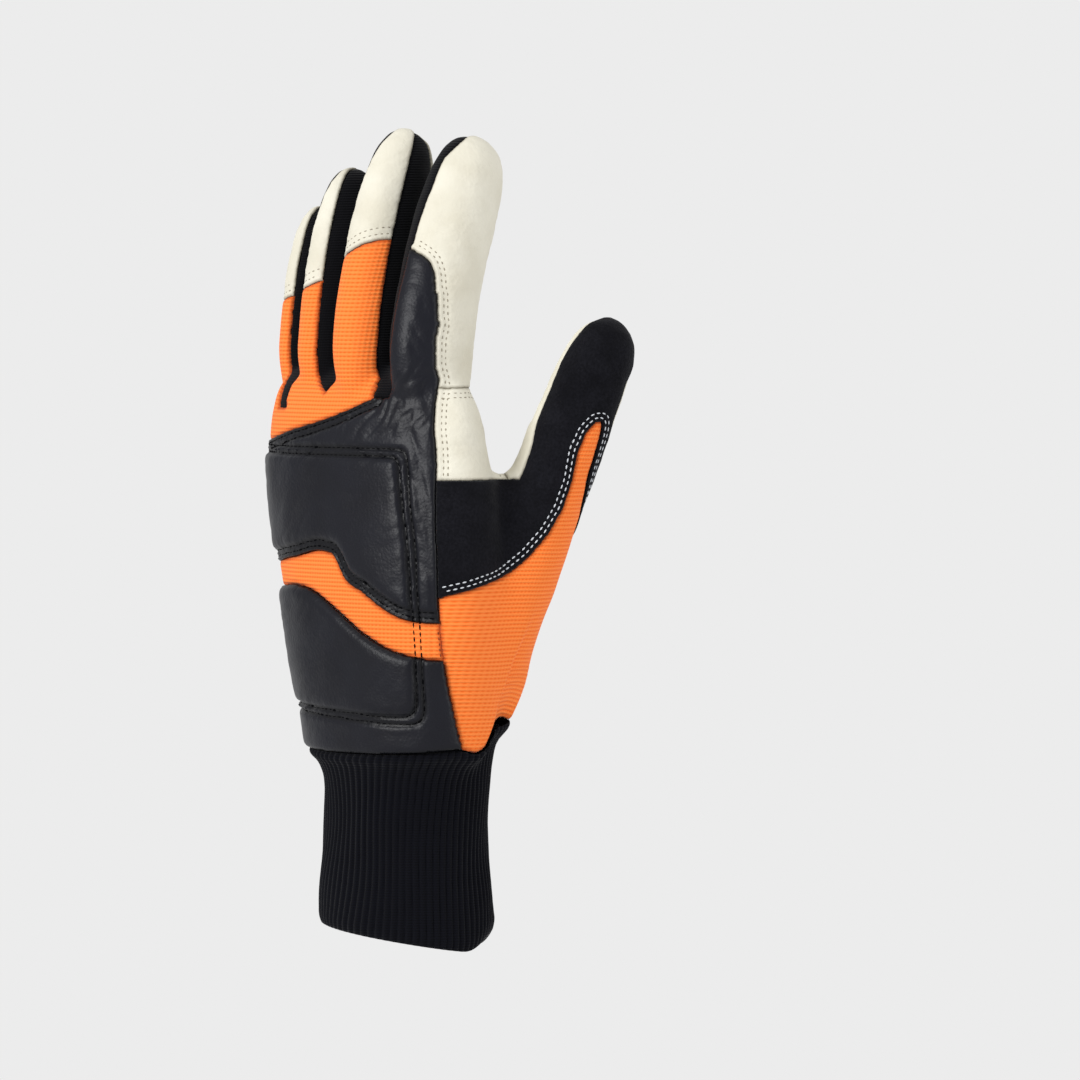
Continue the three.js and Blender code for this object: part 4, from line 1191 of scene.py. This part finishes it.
def make_panel(name, material, wall, nodes=None):
    """Cuts one panel out of the hand surface, gives it its swell and its wall."""
    surface = hand_surface(bpy.context.scene.glove_sizes.mesh_cell)
    bm = surface["bm"].copy()
    layer = bm.faces.layers.int["panel"]
    out = bm.verts.layers.float_vector.new("outward")
    edge = bm.verts.layers.float.new("seam_mm")
    cloth = bm.verts.layers.float_vector.new("cloth")
    row = bm.verts.layers.float.new("row_mm")
    places = cloth_places(surface["p"], name)
    height = surface["swell"][name]
    for i, v in enumerate(bm.verts):
        v[edge] = surface["seam"][i]
        v[row] = surface["row_mm"][i]
        v[cloth] = places[i]
        v[out] = surface["normal"][i]
        v.co += Vector(surface["normal"][i]) * height[i]
    ours = {v for f in bm.faces if f[layer] == ZONE[name] for v in f.verts}
    lap = set()
    if "knit" in name or "fourchette" in name or "stripe" in name:
        lap = {f for v in ours for f in v.link_faces if all(c[edge] < LAP_WIDTH for c in f.verts)}
    for v in {v for f in lap for v in f.verts} - ours:
        v.co -= v[out] * LAP_DEPTH
    strays = [f for f in bm.faces if f[layer] != ZONE[name] and f not in lap]
    bmesh.ops.delete(bm, geom=strays, context="FACES")
    piece = make_object(bm, PIECE_NAMES[name], material)
    thick = piece.modifiers.new("wall", "SOLIDIFY")
    thick.thickness = wall * MM
    thick.offset = -1
    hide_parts(*(nodes or [name]))
    return piece


def sew(name, thread, thick, sink, material):
    """Makes every stitch of one thread: short rounded lengths that dip into the cloth at both ends."""
    surface = hand_surface(bpy.context.scene.glove_sizes.mesh_cell)
    all_rows = bmesh.new()
    for (place, normal), row_thread, length in surface["rows"]:
        if row_thread != thread:
            continue
        row = bmesh.new()
        for i in range(1, len(place) - 1):
            _, k, _ = surface["places"].find(place[i])
            out = Vector(normal[i])
            along = Vector(place[i + 1] - place[i - 1]).normalized()
            side = out.cross(along).normalized()
            spot = Vector(place[i]) + out * (surface["height"][k] - sink)
            sizes = Matrix.Diagonal((length, thick, thick * 0.8, 1))
            turned = Matrix((along, side, along.cross(side))).transposed().to_4x4()
            bmesh.ops.create_uvsphere(
                row, u_segments=6, v_segments=4, radius=0.5, matrix=Matrix.Translation(spot) @ turned @ sizes
            )
        scratch = bpy.data.meshes.new("row")
        row.to_mesh(scratch)
        row.free()
        all_rows.from_mesh(scratch)
        bpy.data.meshes.remove(scratch)
    bmesh.ops.recalc_face_normals(all_rows, faces=all_rows.faces)
    return make_object(all_rows, name, material)


# Materials


def linear(hex_colour):
    """An sRGB hex colour as linear values with alpha."""
    values = [int(hex_colour[i : i + 2], 16) / 255 for i in (1, 3, 5)]
    return (*[v / 12.92 if v <= 0.04045 else ((v + 0.055) / 1.055) ** 2.4 for v in values], 1)


def add_node(tree, kind, inputs=None, **settings):
    """Adds a node with its settings, and sets or links its inputs."""
    node = tree.nodes.new(kind)
    for name, value in settings.items():
        setattr(node, name, value)
    for key, value in (inputs or {}).items():
        if isinstance(value, bpy.types.NodeSocket):
            tree.links.new(value, node.inputs[key])
        else:
            node.inputs[key].default_value = value
    return node


def start_material(name, roughness, specular=0.5):
    """A new material with its node tree and its main shader."""
    material = bpy.data.materials.new(name)
    material.use_nodes = True
    tree = material.node_tree
    shader = tree.nodes["Principled BSDF"]
    shader.inputs["Roughness"].default_value = roughness
    shader.inputs["IOR"].default_value = 1.5
    shader.inputs["Specular IOR Level"].default_value = specular
    return material, tree, shader


def finish_surface(tree, shader, colour, height, depth):
    """Links a finished colour to the shader, and a relief with a depth in millimetres."""
    bump = add_node(tree, "ShaderNodeBump", {"Height": height, "Distance": depth * MM, "Strength": 1.0})
    tree.links.new(colour, shader.inputs["Base Color"])
    tree.links.new(bump.outputs[0], shader.inputs["Normal"])


def knit_material(name, ridge, groove, edge, pitch, column, depth, specular=0.15):
    """Knitted yarn: ridges across it, with painted shade darkening the grooves between them, matt with a
    faint sheen.

    The pitch of the ridges and the width of the loops' columns are in millimetres. Loops under about 0.5 mm,
    as in the real cuff and side strips, are drawn up to twice as coarse, so that they show.
    """
    material, tree, shader = start_material(name, 0.88, specular)
    shader.inputs["Sheen Weight"].default_value = 0.06
    shader.inputs["Sheen Roughness"].default_value = 0.5
    place = add_node(tree, "ShaderNodeAttribute", attribute_name="cloth")
    split = add_node(tree, "ShaderNodeSeparateXYZ", {0: place.outputs["Vector"]})
    waves = []
    for axis, length in (("Y", pitch), ("X", column)):
        turns = {0: split.outputs[axis], 1: 2 * math.pi / length}
        angle = add_node(tree, "ShaderNodeMath", turns, operation="MULTIPLY")
        waves.append(add_node(tree, "ShaderNodeMath", {0: angle.outputs[0]}, operation="SINE").outputs[0])
    relief = {0: waves[1], 1: 0.26, 2: waves[0]}
    height = add_node(tree, "ShaderNodeMath", relief, operation="MULTIPLY_ADD")
    shade = add_node(tree, "ShaderNodeMapRange", {0: height.outputs[0], 1: -1.2, 2: 0.1, 3: 0.0, 4: 1.0})
    # The groove colour is painted shade in the hollows between the ridges
    colour = add_node(
        tree, "ShaderNodeMix", {0: shade.outputs[0], 6: linear(groove), 7: linear(ridge)}, data_type="RGBA"
    )
    # Painted shade, with some dirt, darkens the knit towards its seams
    shaded = shade_edges(tree, colour.outputs[2], edge, 1.6)
    finish_surface(tree, shader, shaded, height.outputs[0], depth)
    return material


def shade_edges(tree, colour, edge, width, attribute="seam_mm", share=0.75):
    """Darkens a colour close to a seam or a stitched channel: painted shade where cloth folds under, with
    some dirt that settles along seams.
    """
    seam = add_node(tree, "ShaderNodeAttribute", attribute_name=attribute)
    near = add_node(tree, "ShaderNodeMapRange", {0: seam.outputs["Fac"], 1: 0.0, 2: width, 3: share, 4: 0.0})
    # The edge colour is painted shade, with some dirt along seams
    mix = add_node(tree, "ShaderNodeMix", {0: near.outputs[0], 6: colour, 7: linear(edge)}, data_type="RGBA")
    return mix.outputs[2]


def leather_material(name, base, shade, edge, row_shade_share, roughness, specular, grain_mm, depth, mottle):
    """Grain leather: a fine pebbled grain that breaks up the light, and a slow drift of tone.

    The real grain is about 0.5 mm, and is drawn at about 1 mm to show.
    """
    material, tree, shader = start_material(name, roughness, specular)
    place = add_node(tree, "ShaderNodeTexCoord")
    cells = add_node(
        tree,
        "ShaderNodeTexVoronoi",
        {"Vector": place.outputs["Object"], "Scale": 1 / (grain_mm * MM)},
        feature="SMOOTH_F1",
    )
    fine, slow = (
        add_node(
            tree,
            "ShaderNodeTexNoise",
            {"Vector": place.outputs["Object"], "Scale": 1 / (size * MM), "Detail": detail},
        )
        for size, detail in ((grain_mm * 2.2, 4), (16, 3))
    )
    relief = {0: fine.outputs[0], 1: 1.2, 2: cells.outputs["Distance"]}
    height = add_node(tree, "ShaderNodeMath", relief, operation="MULTIPLY_ADD")
    tone = add_node(tree, "ShaderNodeMapRange", {0: slow.outputs[0], 1: 0.35, 2: 0.7, 3: 0.0, 4: mottle})
    tones = {0: tone.outputs[0], 6: linear(base), 7: linear(shade)}
    colour = add_node(tree, "ShaderNodeMix", tones, data_type="RGBA")
    # Painted shade, with some dirt, darkens the leather towards its seams
    shaded = shade_edges(tree, colour.outputs[2], edge, 1.1)
    # Painted shade darkens it along stitched channels and pressed rows, to near black on the black leather
    shaded = shade_edges(tree, shaded, edge, 1.3, "row_mm", row_shade_share)
    finish_surface(tree, shader, shaded, height.outputs[0], depth)
    return material


def suede_material(name, base, light):
    """Split leather, brushed: a short nap that scatters light, almost without gloss.

    The real nap is about 0.2 mm, and is drawn at 0.9 mm to show.
    """
    material, tree, shader = start_material(name, 0.95, 0.08)
    shader.inputs["Sheen Weight"].default_value = 0.07
    shader.inputs["Sheen Roughness"].default_value = 0.4
    place = add_node(tree, "ShaderNodeTexCoord")
    nap, drift = (
        add_node(
            tree,
            "ShaderNodeTexNoise",
            {"Vector": place.outputs["Object"], "Scale": 1 / (size * MM), "Detail": detail},
        )
        for size, detail in ((0.9, 5), (11, 3))
    )
    tone = add_node(tree, "ShaderNodeMath", {0: nap.outputs[0], 1: drift.outputs[0]}, operation="MULTIPLY")
    shade = add_node(tree, "ShaderNodeMapRange", {0: tone.outputs[0], 1: 0.15, 2: 0.4, 3: 0.0, 4: 1.0})
    tones = {0: shade.outputs[0], 6: linear(base), 7: linear(light)}
    colour = add_node(tree, "ShaderNodeMix", tones, data_type="RGBA")
    finish_surface(tree, shader, colour.outputs[2], nap.outputs[0], 0.25)
    return material


def thread_material(name, colour, shade, specular=0.3):
    """Spun sewing thread: matt, with the fine slanting lines of its twist."""
    material, tree, shader = start_material(name, 0.8, specular)
    place = add_node(tree, "ShaderNodeTexCoord")
    # The real twist is about 0.2 mm; it is drawn at 0.5 mm to show.
    twist = add_node(
        tree, "ShaderNodeTexNoise", {"Vector": place.outputs["Object"], "Scale": 1 / (0.5 * MM), "Detail": 2}
    )
    colour = add_node(
        tree, "ShaderNodeMix", {0: twist.outputs[0], 6: linear(colour), 7: linear(shade)}, data_type="RGBA"
    )
    finish_surface(tree, shader, colour.outputs[2], twist.outputs[0], 0.1)
    return material


def backdrop_material(name, colour):
    """Evenly lit white paper: it glows with one tone, so that the background has no falloff."""
    material, tree, shader = start_material(name, 1.0, 0.0)
    shader.inputs["Base Color"].default_value = (0, 0, 0, 1)
    shader.inputs["Emission Color"].default_value = linear(colour)
    shader.inputs["Emission Strength"].default_value = 1.0
    return material


MATERIALS = {}


def material_for(slot):
    """The material of a slot, made when it is first asked for."""
    if slot not in MATERIALS:
        pick = bpy.context.scene.glove_colours
        makers = {
            # Bright ridged knit that stretches over the back: fine lines all the way across it, darkened by
            # painted shade in their grooves
            "knit_orange": lambda: knit_material(
                "polyester_stretch_knit", pick.orange_knit, pick.orange_groove_shade, "#A23A10", 1.4, 1.5, 0.15
            ),
            # Soft undyed leather: matt and warm, darkened only by painted shade and some dirt where it folds
            # under, and by painted shade along its stitched rows
            "leather_cream": lambda: leather_material(
                "goatskin_cream", pick.cream_leather, "#C9C3B0", "#857D6A", 0.25, 0.62, 0.3, 1.1, 0.12, 0.6
            ),
            # Dyed and finished leather: a low gloss along its puffed edges, and channels darkened to near
            # black by painted shade
            "leather_black": lambda: leather_material(
                "goatskin_black", pick.black_leather, "#0B0B12", "#020203", 0.95, 0.4, 0.21, 0.9, 0.07, 0.7
            ),
            # The flattest black of the glove, clouded by its nap
            "suede_black": lambda: suede_material("cowhide_suede_black", pick.suede, "#17171C"),
            # Elastic yarn: a blue-black without gloss, whose ribs are in the mesh, with painted shade in the
            # grooves of its knit
            "rib_knit_black": lambda: knit_material(
                "elastic_rib_knit_black", pick.cuff, "#06060C", "#050508", 0.9, 2.6, 0.05, 0.06
            ),
            # Thin knit between the fingers: plain black, deep in shadow, with painted shade in its grooves
            # and along its seams
            "jersey_black": lambda: knit_material(
                "polyester_jersey_black", pick.side_strips, "#060608", "#040406", 0.9, 0.7, 0.08, 0.06
            ),
            # Threads: the white one stands out on the suede, and the others sink into their panels
            "thread_white": lambda: thread_material("polyester_thread_white", pick.white_thread, "#AEB3BA"),
            "thread_black": lambda: thread_material("polyester_thread_black", "#030305", "#08080B", 0.04),
            "thread_grey": lambda: thread_material("polyester_thread_grey", pick.grey_thread, "#7E7667"),
            "thread_brown": lambda: thread_material("polyester_thread_brown", "#6E2E12", "#8E3B16"),
        }
        MATERIALS[slot] = makers[slot]()
    return MATERIALS[slot]


# Operators


class GloveSizes(bpy.types.PropertyGroup):
    """Sizes a user may change."""

    mesh_cell: FloatProperty(
        name="Mesh cell", description="Size of the surface's faces, in mm", default=0.85, min=0.5
    )
    leather_wall: FloatProperty(
        name="Leather wall", description="Thickness of the leather, in mm", default=1.3, min=0.5
    )
    knit_wall: FloatProperty(
        name="Knit wall", description="Thickness of the knit, in mm", default=1.2, min=0.4
    )
    thread: FloatProperty(name="Thread", description="Thickness of a stitch, in mm", default=0.75, min=0.2)
    rib_count: IntProperty(name="Ribs", description="Number of ribs around the cuff", default=72, min=20)
    rib_depth: FloatProperty(
        name="Rib depth", description="Depth of the cuff's ribs, in mm", default=0.85, min=0
    )


def colour_setting(name, description, default):
    """A colour a user may change, as an sRGB hex value."""
    return StringProperty(name=name, description=description, default=default, maxlen=7)


class GloveColours(bpy.types.PropertyGroup):
    """Colours a user may change, as sRGB hex values."""

    orange_knit: colour_setting("Orange knit", "Ridges of the knit on the back and the thumb", "#FF8A40")
    # The groove colour stands for painted shade in the knit's hollows
    orange_groove_shade: colour_setting("Orange grooves", "Grooves between the ridges of the knit", "#F0661C")
    cream_leather: colour_setting("Cream leather", "Goatskin of the palm and the fingertips", "#DBD7C8")
    black_leather: colour_setting("Black leather", "Goatskin of the padded back", "#12131B")
    suede: colour_setting("Suede", "Split leather over the web of the thumb", "#0C0C10")
    cuff: colour_setting("Cuff", "Yarn of the ribbed cuff", "#10121F")
    side_strips: colour_setting("Side strips", "Jersey between the fingers", "#0B0B0F")
    white_thread: colour_setting("White thread", "Stitches on the suede", "#DADDE1")
    grey_thread: colour_setting("Grey thread", "Stitches on the cream leather", "#A79F8E")
    backdrop: colour_setting("Backdrop", "Floor and background", "#ECECEC")


class GLOVE_OT_leather(bpy.types.Operator):
    """Cuts the cream and black leather panels"""

    bl_idname = "glove.leather"
    bl_label = "Leather panels"

    def execute(self, context):
        """Makes the leather panels; the two black pads are padded and thicker."""
        wall = context.scene.glove_sizes.leather_wall
        cream, black = material_for("leather_cream"), material_for("leather_black")
        make_panel("palm_pad", cream, wall)
        # One piece stands for the four solids of the fingers' leather
        fingers = [f"{finger}_leather" for finger in FINGERS]
        make_panel("finger_leather", cream, wall, fingers)
        make_panel("thumb_leather", cream, wall)
        for name in ("knuckle_pad", "wrist_pad"):
            make_panel(name, black, wall + 0.8)
        make_panel("thumb_suede", material_for("suede_black"), wall)
        return {"FINISHED"}


class GLOVE_OT_knit(bpy.types.Operator):
    """Cuts the orange knit panels and the black side strips of the fingers"""

    bl_idname = "glove.knit"
    bl_label = "Knit panels"

    def execute(self, context):
        """Makes the knit panels and the strips between the fingers."""
        wall = context.scene.glove_sizes.knit_wall
        orange = material_for("knit_orange")
        for name in ("back_stripe", "finger_knit", "thumb_knit"):
            make_panel(name, orange, wall)
        for left, right in PAIRS:
            make_panel(f"fourchette_{left}_{right}", material_for("jersey_black"), wall)
        return {"FINISHED"}


class GLOVE_OT_stitches(bpy.types.Operator):
    """Sews the rows of stitches in white, black, grey and brown thread"""

    bl_idname = "glove.stitches"
    bl_label = "Stitches"

    def execute(self, context):
        """Sews each thread's rows: its share of the thickness, how far it sinks in, and its slot."""
        thick = context.scene.glove_sizes.thread
        threads = {
            "white": ("suede_stitches_white", 0.8, 0.0, "suede_black"),
            "black": ("pad_stitches_black", 1.15, 0.16, "leather_black"),
            "grey": ("leather_stitches_grey", 0.8, 0.05, "leather_cream"),
            "brown": ("stripe_stitches_brown", 0.75, 0.05, "knit_orange"),
        }
        for thread, (name, share, sink, slot) in threads.items():
            sew(name, thread, thick * share, sink, material_for(f"thread_{thread}"))
        return {"FINISHED"}


class GLOVE_OT_cuff(bpy.types.Operator):
    """Knits the ribbed cuff"""

    bl_idname = "glove.cuff"
    bl_label = "Cuff"

    def execute(self, context):
        """Lofts the ribs up the outside and the plain wall down the inside."""
        sizes = context.scene.glove_sizes
        ribs, depth = sizes.rib_count, sizes.rib_depth
        per_rib = 6
        shift = PALM_WIDTH * HAND["x"][0], PALM_DEPTH * HAND["y"][0]

        def section(up, inset, rib):
            """A ring at a share of the cuff's length, set in by some mm, with a share of the ribs' depth."""
            wide = CUFF_WIDTH / 2 * float(curve(CUFF, "wide", up)) - inset
            deep = CUFF_DEPTH / 2 * float(curve(CUFF, "deep", up)) - inset
            blend = float(smooth_step(0.75, 1.0, up))
            thumb_flare = 3.8 * float(smooth_step(0.9, 1.03, up))
            square = 2 + (SQUARENESS - 2) * blend

            def point(turn):
                """A point of the ring, between the cuff's own oval and the shape of the hem above it."""
                c, s = math.cos(turn), math.sin(turn)
                wobble = 0.3 * math.sin(up * 7 + turn * 3) + 0.18 * math.sin(up * 13 - turn * 5)
                drift = turn + 0.02 * math.sin(up * 5 + turn * 2) + 0.1 * (1 - up) ** 1.5
                crest = abs(math.cos(drift * ribs / 2)) ** 0.7
                swell = rib * depth * (crest - 1) + wobble
                reach = (abs(c) ** square + abs(s) ** square) ** (-1 / square)
                swell += thumb_flare * max(math.cos(turn - 0.7), 0) ** 3
                x = (wide + swell) * c * reach + shift[0] * blend
                y = (deep + swell) * s * reach + shift[1] * blend
                # The mouth slants, and curls up on the side ahead of the thumb
                ahead = 0.77 * x + 0.64 * y
                curl = 11 * float(smooth_step(20, 34, ahead)) ** 2
                low = max(1 - up, 0) * (MOUTH_SLOPE * (CUFF_WIDTH / 2 - ahead) + curl)
                top = hem_height(y) + float(hem_lift(x, y)) - CUFF_LENGTH
                return Vector((x, y, CUFF_LENGTH * up + low + top * blend))

            return point

        # A rounded mouth, the outside up under the hem, and the inside back down
        rings = [section(0.0, 1.2, 0.2), section(0.0, 0.5, 0.6), section(0.004, 0.12, 0.9)]
        rings += [section(up, 0.0, 1.0) for up in np.linspace(0.02, 1.06, 64)]
        rings += [section(up, 2.4, 0.35) for up in np.linspace(1.06, 0.0, 24)]
        bm = bmesh.new()
        cloth = bm.verts.layers.float_vector.new("cloth")
        loft(bm, rings, ribs * per_rib, hollow=True)
        turn_of = bm.verts.layers.float["turn"]
        for v in bm.verts:
            v[cloth] = (v[turn_of] * (CUFF_WIDTH + CUFF_DEPTH) / 4, v.co.z, 0)
        bmesh.ops.recalc_face_normals(bm, faces=bm.faces)
        piece = make_object(bm, "cuff_rib_knit", material_for("rib_knit_black"))
        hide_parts("cuff")
        return {"FINISHED"}


class GLOVE_OT_stage(bpy.types.Operator):
    """Sets the pale floor and backdrop, the soft lights and the camera"""

    bl_idname = "glove.stage"
    bl_label = "Stage"

    def execute(self, context):
        """Makes the backdrop, the lights, the world and the camera."""
        scene = context.scene
        turn, tilt = math.radians(CAMERA["turn"]), math.radians(CAMERA["tilt"])
        right = Vector((math.cos(turn), math.sin(turn), 0))
        back = Vector((math.sin(turn) * math.cos(tilt), -math.cos(turn) * math.cos(tilt), math.sin(tilt)))
        aim = right * CAMERA["right"] + Vector((0, 0, CAMERA["up"]))

        # A large floor that rises behind in one curve
        bm = bmesh.new()
        bmesh.ops.create_grid(bm, x_segments=1, y_segments=1, size=4)
        bm.edges.ensure_lookup_table()
        far = max(bm.edges, key=lambda e: sum(v.co.y for v in e.verts))
        grown = bmesh.ops.extrude_edge_only(bm, edges=[far])["geom"]
        wall = [g for g in grown if isinstance(g, bmesh.types.BMVert)]
        bmesh.ops.translate(bm, vec=(0, 0, 5), verts=wall)
        corner = [e for e in bm.edges if len(e.link_faces) == 2]
        bmesh.ops.bevel(
            bm,
            geom=corner,
            offset=1.5,
            offset_type="OFFSET",
            segments=24,
            profile=0.5,
            affect="EDGES",
            material=-1,
        )
        bmesh.ops.rotate(bm, cent=(0, 0, 0), matrix=Matrix.Rotation(turn, 3, "Z"), verts=bm.verts)
        bmesh.ops.translate(bm, vec=(0, 0, -0.12), verts=bm.verts)
        mesh = bpy.data.meshes.new("backdrop")
        bm.to_mesh(mesh)
        bm.free()
        mesh.shade_smooth()
        floor = bpy.data.objects.new("backdrop", mesh)
        mesh.materials.append(backdrop_material("matt_paper_white", scene.glove_colours.backdrop))
        scene.collection.objects.link(floor)

        # Each light's place in metres, power in watts and size
        lights = [
            ("key", right * -1.5 + back * 1.3 + Vector((0, 0, 0.9)), 34, 0.9),
            ("side", right * 1.5 + back * 0.9 + Vector((0, 0, 0.4)), 11, 1.3),
            ("top", back * 0.6 + Vector((0, 0, 2.0)), 8, 1.2),
        ]
        for name, place, power, size in lights:
            lamp = bpy.data.lights.new(name, "AREA")
            lamp.energy = power
            lamp.size = size
            light = bpy.data.objects.new(name, lamp)
            scene.collection.objects.link(light)
            light.location = place
            light.rotation_euler = (aim - place).to_track_quat("-Z", "Y").to_euler()
        world = bpy.data.worlds.new("studio")
        world.use_nodes = True
        background = world.node_tree.nodes["Background"]
        background.inputs["Color"].default_value = linear(scene.glove_colours.backdrop)
        background.inputs["Strength"].default_value = 0.6
        scene.world = world
        scene.view_settings.view_transform = "Standard"

        camera = bpy.data.objects.new("camera", bpy.data.cameras.new("camera"))
        scene.collection.objects.link(camera)
        camera.data.sensor_width = 36
        camera.data.lens = camera.data.sensor_width * CAMERA["distance"] / CAMERA["frame_width"]
        camera.location = aim + back * CAMERA["distance"]
        camera.rotation_euler = (-back).to_track_quat("-Z", "Y").to_euler()
        scene.camera = camera
        return {"FINISHED"}


class GLOVE_PT_panel(bpy.types.Panel):
    """Lists the glove's sizes, colours and steps"""

    bl_idname = "GLOVE_PT_panel"
    bl_label = "Work glove"
    bl_space_type = "VIEW_3D"
    bl_region_type = "UI"
    bl_category = "Glove"

    def draw(self, context):
        """Draws every setting and a button for each step."""
        for group in (context.scene.glove_sizes, context.scene.glove_colours):
            for name in type(group).__annotations__:
                self.layout.prop(group, name)
        for step in STEPS:
            self.layout.operator(step.bl_idname)


STEPS = [GLOVE_OT_leather, GLOVE_OT_knit, GLOVE_OT_stitches, GLOVE_OT_cuff, GLOVE_OT_stage]
CLASSES = [GloveSizes, GloveColours, *STEPS, GLOVE_PT_panel]


def register():
    """Registers the classes and the scene's settings."""
    for item in CLASSES:
        bpy.utils.register_class(item)
    bpy.types.Scene.glove_sizes = PointerProperty(type=GloveSizes)
    bpy.types.Scene.glove_colours = PointerProperty(type=GloveColours)


def unregister():
    """Takes the settings and the classes away again."""
    del bpy.types.Scene.glove_sizes
    del bpy.types.Scene.glove_colours
    for item in reversed(CLASSES):
        bpy.utils.unregister_class(item)


def main():
    register()
    bpy.ops.glove.leather()
    bpy.ops.glove.knit()
    bpy.ops.glove.stitches()
    bpy.ops.glove.cuff()
    bpy.ops.glove.stage()


if __name__ == "__main__":
    main()
